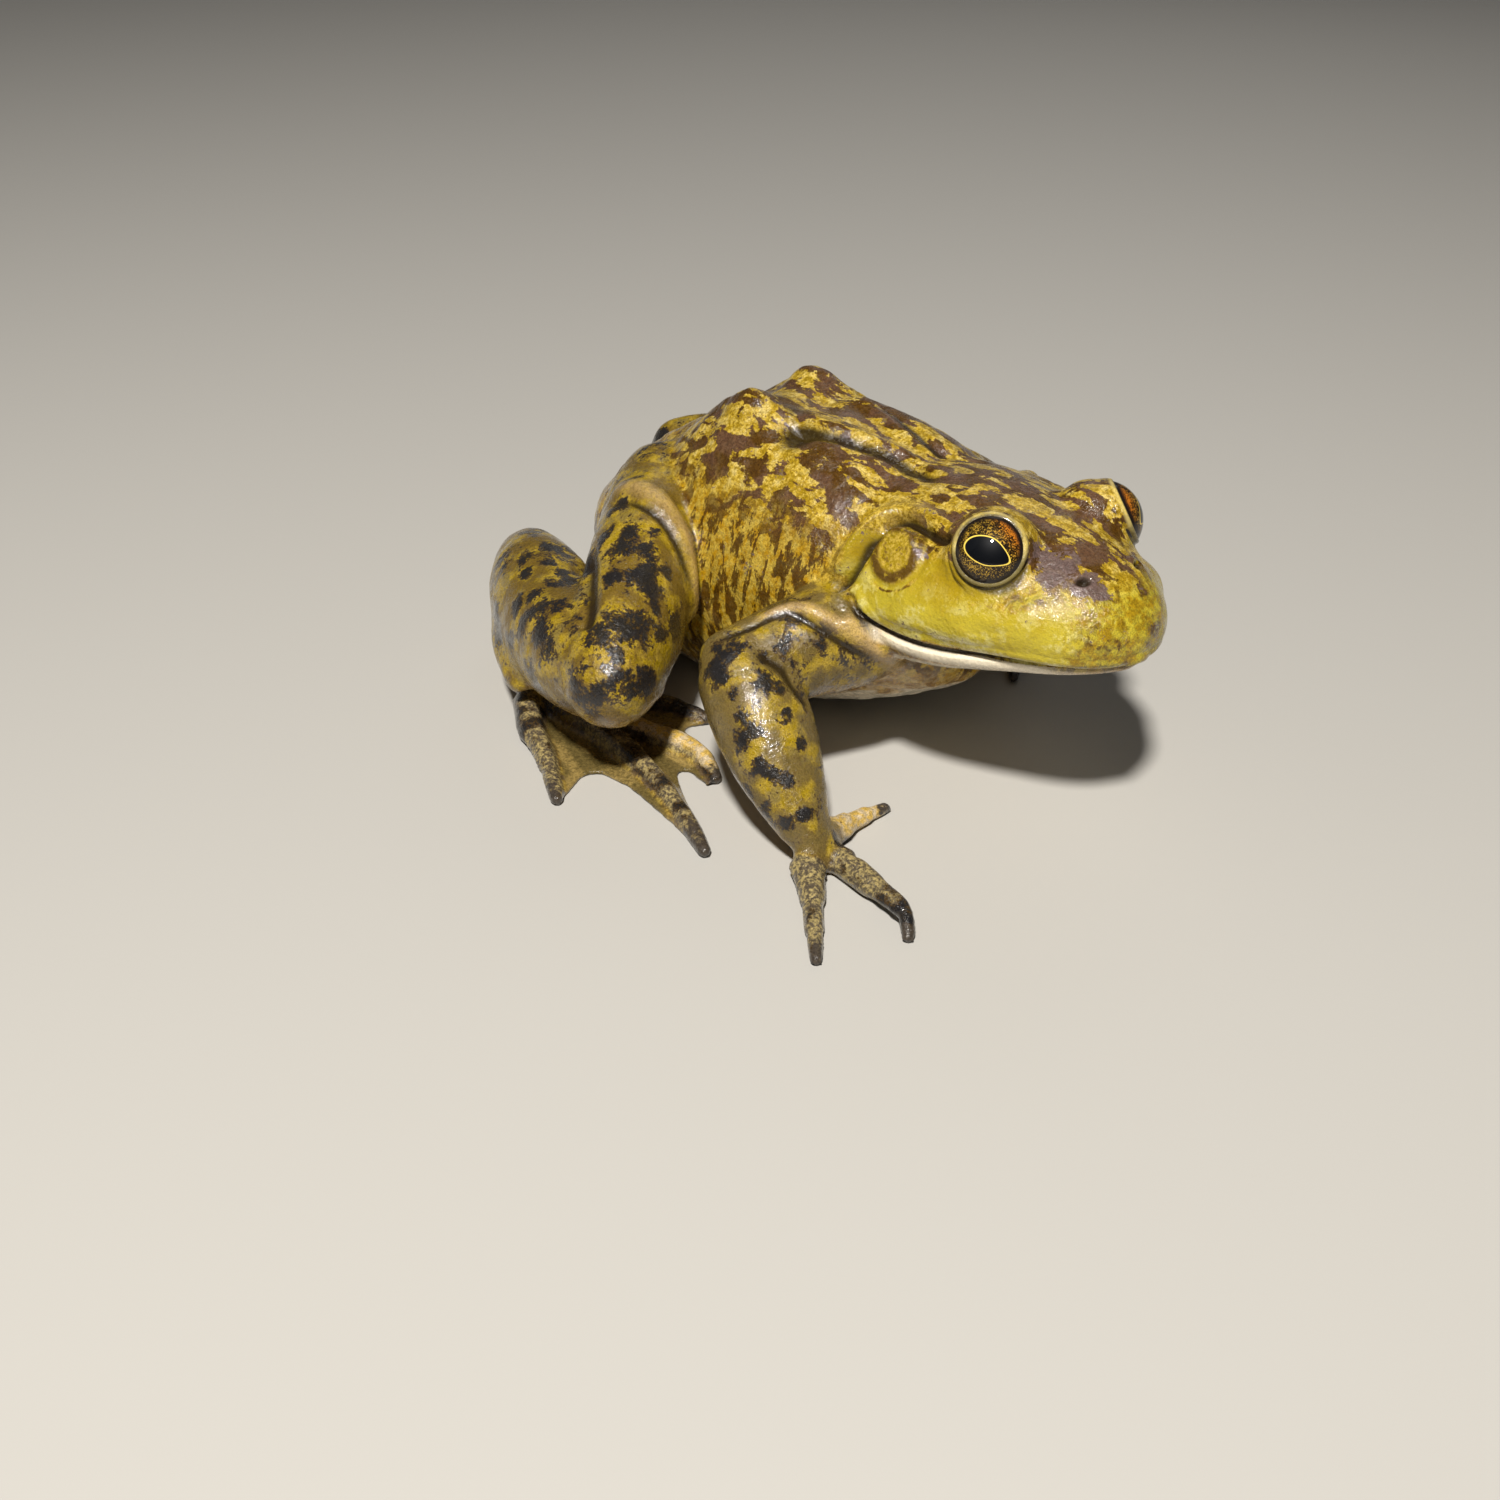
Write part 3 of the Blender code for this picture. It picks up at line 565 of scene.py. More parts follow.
def headRelief(points, side):
    # how far each point moves out along its normal, how much painted shade darkens it in the grooves, mouth line and
    # nostril, and how plain it is
    inHead = intoHead(points)
    # eardrum: a ring round a slightly sunken disc
    _, depth, radius = offDrum(inHead, side)
    size = headShape["drumRadius"]
    rise = (np.abs(depth) < 3.5) * (0.20 * hill(radius - size * 0.84, 1.1) - 0.36 * hill(radius - size * 1.06, 1.1)
                                    - 0.25 * ramp(radius, size * 0.8, size * 0.3) + 0.12 * hill(radius, size * 0.35))
    # fold from the eye over the eardrum down to the arm
    gap, along = nearHeadLine(points, "eyeFold", side, 4.0)
    wide = 2.1 + 0.6 * ramp(along, 0.35, 0.8)
    rise += (0.45 + 1.3 * ramp(along, 0.36, 0.6)) * ramp(along, 1.0, 0.85) * hill(gap, wide)
    plain = ramp(along, 0.12, 0.4) * hill(gap, 3.4)
    gap, along = nearHeadLine(points, "eyeFoldCrease", side, 3.0)
    rise -= ((0.3 + 0.5 * ramp(along, 0.2, 0.5)) * hill(gap, 2.0) + 0.6 * hill(gap, 0.95)) * ramp(along, 1.0, 0.9)
    # painted shade in the groove under the fold
    crease = hill(gap, 0.85) * (1 - 0.3 * ramp(along, 0.5, 0.8)) * ramp(along, 1.0, 0.9)
    gap, along = nearHeadLine(points, "lipSwelling", side, 5.0)
    rise += 0.75 * ramp(along, 0.0, 0.3) * ramp(along, 1.0, 0.75) * hill(gap, 4.6)
    # mouth line under a slightly proud lip
    gap, along = nearHeadLine(points, "mouthLine", side, 3.0)
    rise -= (0.7 + 0.5 * ramp(along, 0.55, 0.9)) * hill(gap, 0.9)
    rise += np.where(inHead[:, 2] > -8.5, 0.35, 0.15) * hill(gap - 1.3, 1.2)
    # painted shade along the mouth line
    crease += hill(gap, 0.55 + 0.15 * ramp(along, 0.4, 0.8)) * ramp(along, 1.0, 0.9)
    # nostril: a slit below a raised flap
    spot = onSurface(sided([headShape["nostrilAt"]], side))[0]
    away = inHead - intoHead(spot)
    down = -away[:, 2] + 0.12 * away[:, 0]
    slit = np.sqrt((away[:, 0] / 1.5) ** 2 + (away[:, 1] / 1.3) ** 2 + (down / 0.6) ** 2)
    flap = np.sqrt(((away[:, 0] + 0.2) / 1.7) ** 2 + (away[:, 1] / 1.6) ** 2 + ((down + 1.0) / 0.9) ** 2)
    rise += 0.42 * hill(flap, 1.0) - 1.0 * hill(slit, 1.1) + 0.16 * hill(lengths(away), 3.2)
    # the nostril slit is darkened with painted shade too
    return rise, crease + hill(slit, 1.25), plain


def bodyRelief(points, normals):
    rise, crease, paleLine = np.zeros((3, len(points)))
    for name, (width, height, dark, pale, path) in bodyShape["lines"].items():
        for side in ((1, -1) if name in bodyShape["onBothSides"] else (1,)):
            gap, along = nearPath(points, onSurface(sided(path, side), np.array), 4.5)
            fade = ramp(along, 0.0, 0.12) * ramp(along, 1.0, 0.86)
            rise += height * fade * hill(gap, width * 2.0)
            # painted shade along each line's groove
            crease += dark * fade * hill(gap, width * 1.3)
            # pale skin along the ridges, partly painted highlight where they catch the light
            paleLine += pale * fade * hill(gap, width * 1.5)
    for place, radius, height in bodyShape["humps"]:
        rise += height * hill(lengths(points - np.array(place)), radius)
    # painted shade in the hollows beside the humps
    for place, radius, depth in bodyShape["shadedHollows"]:
        crease += depth * hill(lengths(points - np.array(place)), radius)
    trunkShare = shares["trunk"] + 0.6 * (shares["upperArm"] + shares["forearm"] + shares["thigh"] + shares["shank"])
    flank = shares["trunk"] * ramp(np.abs(normals[:, 1]), 0.3, 0.8) * ramp(points[:, 2], 6, 14)
    rough = np.clip(trunkShare + 0.5 * shares["head"] * ramp(intoHead(points)[:, 2], 0, 5), 0, 1)
    for name, where, squash in (("wrinkles", flank, 0.28), ("lumps", trunkShare, 1), ("grain", rough, 1)):
        size, height, shift = bodyShape[name]
        rise += height * where * lumps(points * (1, 1, squash), size, shift)
    return rise, crease, paleLine


skinNormals = normalsOf(skin.data)
rise, crease, paleLine = bodyRelief(skinPoints, skinNormals)
foldShare, lidRing = np.zeros((2, len(skinPoints)))
# each side of the head adds its rise, its painted shade and its plain fold
for side in (-1, 1):
    more, deep, plain = headRelief(skinPoints, side)
    rise += more
    crease += deep
    foldShare = np.maximum(foldShare, plain)
crease = np.clip(crease, 0, 1)
skinPoints = skinPoints + skinNormals * rise[:, None]
for side in (-1, 1):
    skinPoints = shapeLids(skinPoints, side)
skinPoints[:, 2] = np.maximum(skinPoints[:, 2], 0.0)
print("skin shaped")

# looks: what each part of the skin looks like, kept as named values on its points
# dark patches of the right limbs and the snout: x, y, z and radius
patchPlaces = {
    "thigh": [(-21.4, -34.7, 31.4, 2.2), (-19, -32.2, 31.4, 2), (-27.1, -32.9, 31.4, 1.8), (-23.2, -31.4, 32.7, 1.8),
        (-18.6, -39.1, 29.5, 1.5), (-16.9, -37.3, 29.7, 1.9), (-15.4, -35.2, 29.5, 2.2), (-13.7, -36, 28.1, 1.8),
        (-20.8, -28.4, 32.5, 1.2), (-15.3, -31.2, 28.7, 1.2), (-11.6, -37.3, 26.4, 1.5), (-10.4, -40.4, 25.8, 1.8),
        (-9.3, -43.4, 25.2, 2.6), (-11.8, -44.1, 26.3, 2.6), (-12.9, -47.2, 25.3, 2.2), (-13.4, -48.6, 24.5, 1.6),
        (-8.6, -47.7, 23.6, 1.5), (-6, -48.7, 20, 2.2), (-5.4, -45.3, 19.4, 2), (-10.8, -34, 22.9, 2.2),
        (-9, -38.5, 23.1, 1.6), (-8.6, -52.2, 18.7, 1.5), (-30.5, -27, 33, 1.8), (-34, -31, 29.5, 2.2)],
    "shank": [(-44, -29.8, 22.7, 2), (-43.8, -26.2, 21.1, 2.2), (-35.4, -35.1, 23, 1.5), (-32.4, -35.6, 22.8, 1.8),
        (-26.1, -44, 23.8, 1.6), (-33.8, -42.5, 22.2, 1.9), (-29.5, -45.6, 22, 2.5), (-25.4, -48.1, 21.4, 2.3),
        (-21.9, -50.2, 19.8, 1.9), (-35.9, -44, 20.2, 1.8), (-31.2, -46.9, 19.6, 1.9), (-44.2, -35.1, 22.6, 1.5),
        (-40.6, -38.1, 22.2, 1.5), (-53.5, -24, 20.6, 2.2), (-52.4, -27.4, 21.7, 2), (-50.8, -35.3, 19.8, 1.6),
        (-34.7, -46.8, 15.2, 1.8), (-44, -42.2, 14.8, 2.2), (-41, -43.8, 12.9, 2), (-25.8, -49.9, 14.1, 2),
        (-23.9, -49.6, 11.8, 1.8), (-12.4, -52.6, 19.8, 1.6), (-11.7, -52.9, 17.8, 1.6), (-28.3, -36.3, 26.7, 2),
        (-9.2, -51.8, 14.6, 1.8), (-16.5, -51.5, 12.5, 2)],
    "foot": [(-38, -43, 5, 2.2), (-30.8, -47.8, 4.5, 1.5), (-26.2, -50.3, 4, 1.4), (-11.6, -42.7, 2.9, 1.6),
        (-3.5, -44.1, 2.6, 1.3), (2.9, -46.1, 2.2, 1.3), (-18, -42, 4, 1.2)],
    "arm": [(5, -37.4, 27, 1.1), (6.4, -39.6, 25.9, 0.9), (4.7, -41.3, 24.4, 1.5), (6.2, -42, 23.5, 1.6),
        (9.3, -35.7, 25.6, 1.1), (12.1, -38.7, 23.9, 1.6), (13.4, -37.3, 23.2, 1.3), (9.4, -42.3, 22.6, 1),
        (12.2, -43.3, 20.4, 1.2), (14.4, -43.5, 18.7, 1.3), (16.1, -38.4, 20.5, 0.8), (16.8, -39.7, 19.6, 0.9),
        (13.1, -44.7, 17.4, 1.2), (17.2, -44.8, 14.7, 1.4), (19, -44.3, 14.1, 1.2), (20.6, -43.1, 13.6, 1.2),
        (18.8, -45.5, 9.1, 1.3), (22.5, -45, 7.9, 1.2), (6.7, -43.5, 15.2, 1.3), (19.2, -38.6, 16.9, 0.9),
        (24.3, -42.8, 9.2, 1)],
    "snout": [(38.7, -11.3, 42.6, 2.2), (41.2, -11.3, 41.9, 2), (39.5, -13.4, 41.3, 1.5), (44.6, -10.9, 40.8, 2),
        (46.2, -10.1, 40.3, 1.3)],
}
lookShape = {
    "patchReach": 2.1,            # a patch fades out at this many times its radius
    "looseSizes": (5.5, 2.6),     # sizes of the patches strewn over the limbs
    "lowerLip": ((3, 12.8, 24.6, 40), (-6, -9.2, -9.0, -8.9)),   # x and height of the lower lip's edge, in the head
    "webSole": {-1: (-46.0, -36.0), 1: (-56.0, 33.0)},           # where each web's streaks fan out from
    "knuckle": 0.28,              # how far the knuckles swell
    "digitWidth": 2.9,
    # the digits whose upper side is light: their paths, and where the light fades out across them
    "lightDigits": [([(24, -36.5, 4.5), (22.8, -31.5, 2.6), (23.2, -23.8, 1.6)], 2.8, 1.8),
                    ([(-26, -35.5, 4), (-18, -35.2, 3.4), (-7.5, -32.6, 2.6), (-3, -34, 2.2)], 2.4, 1.4)],
}


def centreLine(name, base, slices=7):
    # middle points of a digit from the end nearest the base out to its tip
    points = readPoints(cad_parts[name].data) * perMetre - frogOrigin
    middle = points.mean(0)
    axis = np.linalg.svd(points - middle, full_matrices=False)[2][0]
    if axis @ (middle - base) < 0:
        axis = -axis
    along = (points - middle) @ axis
    ends = np.linspace(along.min(), along.max() + 1e-6, slices + 1)
    rows = [points[(along >= start) & (along <= end)] for start, end in zip(ends, ends[1:])]
    return [row.mean(0) for row in rows if len(row)]


def digitShare(points):
    # how far out along its digit each point lies, 0 at the base to 1 at the tip, and knuckle swellings
    out, knuckle = np.zeros((2, len(points)))
    width = lookShape["digitWidth"]
    for kind, home in (("toe", "foot"), ("finger", "hand")):
        for name in partGroups[kind]:
            gap, along = nearPath(points, centreLine(name, middleOf(home + name[-2:])), 3.0)
            mine = gap < width
            out = np.where(mine, np.maximum(out, along), out)
            swelling = hill(along - 0.42, 0.09) + 0.9 * hill(along - 0.72, 0.08)
            knuckle += mine * swelling * ramp(gap, width, 2.0)
    return out, knuckle


def share(*groups):
    return np.clip(sum(shares[group] for group in groups), 0, 1)


def patchShare(points, onLimb):
    # how near each point is to the middle of a dark patch, 1 at the middle
    patch = np.zeros(len(points))
    for places in patchPlaces.values():
        for *place, radius in places:
            patch = np.maximum(patch, hill(lengths(points - np.array(place)), radius * lookShape["patchReach"]))
    broad, small = lookShape["looseSizes"]
    loose = 0.5 + 0.9 * (lumps(points, broad, 8.0) + 0.5 * lumps(points, small, 5.0)) - 0.14
    return np.maximum(patch, onLimb * np.clip(loose, 0, 1))


def webStreaks(points):
    # the web's streaks fan out from the sole
    streak = np.zeros(len(points))
    for side, (x, y) in lookShape["webSole"].items():
        ahead, across = points[:, 0] - x, points[:, 1] - y
        fan = np.stack([np.arctan2(across, ahead) * 16.0, np.hypot(across, ahead) * 0.16, points[:, 2] * 0.2], 1)
        streak = np.where(points[:, 1] * side > 0, lumps(fan, 1.0, 2.0), streak)
    return 0.5 + 0.5 * streak


def skinLooks(points, normals):
    inHead = intoHead(points)
    ahead, across, height = inHead.T
    limb = share("thigh", "shank", "foot", "forearm", "upperArm", "hand")
    digit = share("toe", "finger")
    headward = share("head", "drum")
    tip, knuckle = digitShare(points)
    light = digit * np.max([ramp(nearPath(points, path, 4.0)[0], far, near)
                            for path, far, near in lookShape["lightDigits"]], axis=0)
    underside = ramp(normals[:, 2], -0.2, -0.8) * (shares["trunk"] + shares["jaw"] + 0.7 * limb)
    cheek = ramp(height, 5.2, 2.2) * ramp(ahead, -0.5, 2.5) * ramp(normals[:, 2], 0.85, 0.5)
    cheek *= ramp(ahead - 0.45 * np.abs(across), 36.0, 27.5)
    # the white edge of the lower lip, and the ring of the eardrum
    band = np.zeros(len(points))
    drum = np.full(len(points), 2.0)
    below = height < np.interp(ahead, *lookShape["lowerLip"])
    for side in (-1, 1):
        gap, along = nearHeadLine(points, "mouthLine", side, 3.0)
        band = np.maximum(band, below * ramp(gap, 2.7, 1.9) * ramp(along, 0.92, 0.7))
        out, _, radius = offDrum(inHead, side)
        drum = np.where(lengths(out) < 8, np.minimum(drum, radius / headShape["drumRadius"]), drum)
    # patches lie thicker on the left limbs and the digits
    onLimb = np.clip(1.6 * (limb + digit), 0, 1) * (1 - light)
    thick = np.clip(0.62 + ramp(points[:, 1], -4, 4) + digit, 0, 1)
    return {
        "limb": limb, "digit": digit, "web": shares["web"], "tip": tip * digit, "lightDigit": light,
        "arm": share("forearm", "upperArm", "hand"), "pale": np.clip(underside, 0, 1),
        "crease": crease, "paleLine": np.clip(paleLine, 0, 1), "lidRing": lidRing, "fold": foldShare,
        "front": headward * ramp(ahead, 24.0, 31.0) * ramp(height, 3.5, 0.0),
        "lip": headward * cheek, "lipLow": ramp(height, 1.0, -5.0),
        "jaw": band * (1 - 0.8 * ramp(ahead, 31, 36)), "drum": drum,
        "patch": patchShare(points, onLimb * thick), "streak": webStreaks(points),
    }, knuckle


writePoints(skin.data, skinPoints)
skinNormals = normalsOf(skin.data)
looks, knuckle = skinLooks(skinPoints, skinNormals)
skinPoints += skinNormals * (lookShape["knuckle"] * knuckle * looks["digit"])[:, None]
skinPoints[:, 2] = np.maximum(skinPoints[:, 2], 0.0)
for name, values in looks.items():
    skin.data.attributes.new(name, "FLOAT", "POINT").data.foreach_set("value", values.astype(np.float32))
print("looks kept:", ", ".join(looks))

# camera, floor and light
cameraPlace = {
    "at": (151.4, -189.0, 142.2),       # millimetres, in the frog's own frame
    "right": (0.7213, 0.6925, 0.0129),
    "up": (-0.3781, 0.378, 0.8451),
    "lens": 40.55, "sensor": 36, "nearest": 0.005,
}
# each lamp: where it stands in metres, its width, its power and its colour
lighting = {
    "key": ((0.25, -0.4, 0.72), 0.08, 11.3, (1.0, 0.96, 0.9)),
    "fill": ((-0.5, -0.55, 0.45), 0.7, 0.12, (0.92, 0.96, 1.0)),
    "back": ((-0.35, 0.6, 0.5), 0.5, 0.35, (1.0, 0.98, 0.95)),
}
studio = {
    "lampsAim": (0, 0, 0.02), "room": 0.052, "roomColour": (0.95, 0.97, 1.0, 1),
    "floorSize": 6, "floorColour": (0.46, 0.447, 0.418, 1), "floorRoughness": 0.6,
}


def makeCamera():
    data = bpy.data.cameras.new("camera")
    data.lens = cameraPlace["lens"]
    data.sensor_width = cameraPlace["sensor"]
    data.clip_start = cameraPlace["nearest"]
    camera = bpy.data.objects.new("camera", data)
    right = Vector(cameraPlace["right"]).normalized()
    back = right.cross(Vector(cameraPlace["up"])).normalized()
    turn = Matrix((right, back.cross(right), back)).transposed()
    camera.matrix_world = Matrix.Translation((frogOrigin + cameraPlace["at"]) / perMetre) @ turn.to_4x4()
    bpy.context.scene.collection.objects.link(camera)
    bpy.context.scene.camera = camera


def makeLight(name, place, size, power, colour):
    data = bpy.data.lights.new(name, "AREA")
    data.shape = "DISK"
    data.size = size
    data.energy = power
    data.color = colour
    lamp = bpy.data.objects.new(name, data)
    lamp.location = place
    lamp.rotation_euler = (Vector(studio["lampsAim"]) - Vector(place)).to_track_quat("-Z", "Y").to_euler()
    bpy.context.scene.collection.objects.link(lamp)


def newMaterial(name):
    material = bpy.data.materials.new(name)
    material.use_nodes = True
    return material, material.node_tree, material.node_tree.nodes["Principled BSDF"]


def makeStage():
    bpy.ops.mesh.primitive_plane_add(size=studio["floorSize"], location=(0, 0, 0))
    floor = bpy.context.object
    floor.name = "floor"
    material, _, shader = newMaterial("pale floor")
    shader.inputs["Base Color"].default_value = studio["floorColour"]
    shader.inputs["Roughness"].default_value = studio["floorRoughness"]
    floor.data.materials.append(material)
    for name, settings in lighting.items():
        makeLight(name, *settings)
    world = bpy.data.worlds.new("studio")
    world.use_nodes = True
    air = world.node_tree.nodes["Background"]
    air.inputs["Color"].default_value = studio["roomColour"]
    air.inputs["Strength"].default_value = studio["room"]
    bpy.context.scene.world = world
    bpy.context.scene.view_settings.view_transform = "Standard"


makeCamera()
makeStage()

# eyes
eyeLook = {
    "radius": 5.82, "rings": 48, "segments": 96,
    "pupilLong": 3.15, "pupilTall": 1.86, "pupilTilt": 2.0, "pupilBack": 0.08, "pupilDrop": 0.58,
    "goldRing": 0.055, "irisEdge": 4.3,
}


def makeEye(side):
    gaze = headTurn @ turnedTo(headShape["gaze"], side)
    forward = headTurn[:, 0]
    ahead = forward - (forward @ gaze) * gaze
    ahead /= np.linalg.norm(ahead)
    turn = Matrix((ahead, np.cross(gaze, ahead), gaze)).transposed()
    bm = bmesh.new()
    bmesh.ops.create_uvsphere(bm, u_segments=eyeLook["segments"], v_segments=eyeLook["rings"],
                              radius=eyeLook["radius"] / perMetre)
    mesh = intoMesh(bm, bpy.data.meshes.new("eye"))
    mesh.shade_smooth()
    # millimetres ahead, up and out along the gaze, the same way round for both eyes
    place = readPoints(mesh) * perMetre * (1, -side, 1)
    layer = mesh.attributes.new("eyePlace", "FLOAT_VECTOR", "POINT")
    layer.data.foreach_set("vector", place.astype(np.float32).ravel())
    eye = bpy.data.objects.new("eyeball_" + ("L" if side > 0 else "R"), mesh)
    bpy.context.scene.collection.objects.link(eye)
    eye.matrix_world = Matrix.Translation((eyeMiddle[side] + frogOrigin) / perMetre) @ turn.to_4x4()
    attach(eye, "root")
    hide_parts("eye_L" if side > 0 else "eye_R")
    return eye


eyeballs = [makeEye(side) for side in (-1, 1)]


# materials
class Field:
    # a value, colour or place that differs over the surface: arithmetic on it adds nodes to its material
    def __init__(self, socket):
        self.socket = socket
        self.tree = socket.id_data

    def maths(self, operation, a, b=0.0):
        return put(self.tree, "ShaderNodeMath", {0: a, 1: b}, operation=operation)

    def __add__(self, other):
        return self.maths("ADD", self, other)

    def __sub__(self, other):
        return self.maths("SUBTRACT", self, other)

    def __rsub__(self, other):
        return self.maths("SUBTRACT", other, self)

    def __mul__(self, other):
        return self.maths("MULTIPLY", self, other)

    def __truediv__(self, other):
        return self.maths("DIVIDE", self, other)


def setInputs(node, inputs):
    # each input is given a value, or linked to a field
    for key, value in inputs.items():
        if isinstance(value, Field):
            node.id_data.links.new(value.socket, node.inputs[key])
        else:
            node.inputs[key].default_value = value


def put(tree, kind, inputs, output=0, **settings):
    # adds a node and gives back one of its outputs
    node = tree.nodes.new(kind)
    for key, value in settings.items():
        setattr(node, key, value)
    setInputs(node, inputs)
    return Field(node.outputs[output])


def look(tree, name):
    return put(tree, "ShaderNodeAttribute", {}, "Fac", attribute_name=name)


def step(value, low, high, bottom=0.0, top=1.0):
    ends = {"From Min": low, "From Max": high, "To Min": bottom, "To Max": top}
    return put(value.tree, "ShaderNodeMapRange", {"Value": value, **ends}, interpolation_type="SMOOTHSTEP")


def blended(factor, a, b, kind="MIX"):
    return put(factor.tree, "ShaderNodeMix", {0: factor, 6: a, 7: b}, 2, data_type="RGBA", blend_type=kind)


def greater(a, b):
    return a.maths("MAXIMUM", a, b)


def lengthOf(a, b):
    return a.maths("SQRT", a * a + b * b)


def noise(place, scale, detail, rough, twist=0.0):
    inputs = {"Vector": place, "Scale": scale, "Detail": detail, "Roughness": rough, "Distortion": twist}
    return put(place.tree, "ShaderNodeTexNoise", inputs, "Fac")


def cells(place, scale, feature):
    return put(place.tree, "ShaderNodeTexVoronoi", {"Vector": place, "Scale": scale}, "Distance", feature=feature)


def bumped(height, strength, distance):
    return put(height.tree, "ShaderNodeBump", {"Height": height, "Strength": strength, "Distance": distance})


def ragged(place, size, cover, fray, edge):
    # patches: a broad pattern whose border is frayed by a finer one
    level = noise(place, 1 / size, 2.0, 0.55, 0.4) + (noise(place, 7 / size, 3.0, 0.7) - 0.5) * fray
    return step(level, cover - edge, cover + edge)


skinColours = {
    # back and flanks
    "yellow": (0.51, 0.355, 0.05), "khaki": (0.6, 0.46, 0.14), "olive": (0.34, 0.215, 0.008),
    "amber": (0.4, 0.22, 0.006), "brown": (0.06, 0.022, 0.003), "purple": (0.088, 0.04, 0.026),
    "lid": (0.74, 0.6, 0.2),
    # cheek, under side and folds, and the near-black of painted shade
    "lime": (0.49, 0.395, 0.03), "limeDeep": (0.33, 0.225, 0.005), "limePale": (0.6, 0.53, 0.16),
    "cream": (0.86, 0.76, 0.58), "belly": (0.62, 0.42, 0.17), "throat": (0.34, 0.165, 0.02),
    "nostril": (0.13, 0.085, 0.075), "deep": (0.02, 0.012, 0.004),
    # limbs
    "limbGround": (0.35, 0.235, 0.004), "limbTan": (0.45, 0.31, 0.036), "legBrown": (0.13, 0.078, 0.014),
    "legGrey": (0.165, 0.128, 0.05), "patchBrown": (0.07, 0.04, 0.012), "black": (0.01, 0.01, 0.013),
    # digits and webs
    "digit": (0.105, 0.082, 0.055), "digitPale": (0.36, 0.28, 0.115), "tip": (0.06, 0.047, 0.036),
    "fingerPink": (0.6, 0.48, 0.3), "toeYellow": (0.62, 0.41, 0.09), "web": (0.13, 0.095, 0.03),
    "webPale": (0.29, 0.205, 0.065),
}
skinPattern = {
    # noise: scale per millimetre, detail and roughness
    "soft": (0.22, 2.0, 0.5), "torn": (0.36, 3.0, 0.6), "mid": (0.7, 3.0, 0.6), "fine": (2.0, 3.0, 0.65),
    "dust": (5.0, 2.0, 0.6),
    "backBegins": (33.0, 41.0),        # heights over which the flank turns into the back
    # blotches: size, how far they leave the ground bare, how frayed they are, and how soft their edge is
    "backBlotches": (3.1, 0.49, 0.26, 0.014), "flankBlotches": (2.7, 0.5, 0.4, 0.03),
    "patchEdge": (0.5, 0.55), "patchTorn": 2.4, "patchFrayed": 1.5,
    "grainScale": 1.3, "bump": 0.65, "bumpHeight": 0.00026, "roughness": (0.18, 0.32),
    "film": (0.25, 0.95), "filmBump": 0.6, "filmHeight": 0.00019, "filmRoughness": 0.07, "filmIor": 1.38,
    "specular": 0.25,
}


def opaque(colours):
    return SimpleNamespace(**{name: (*colour, 1) for name, colour in colours.items()})


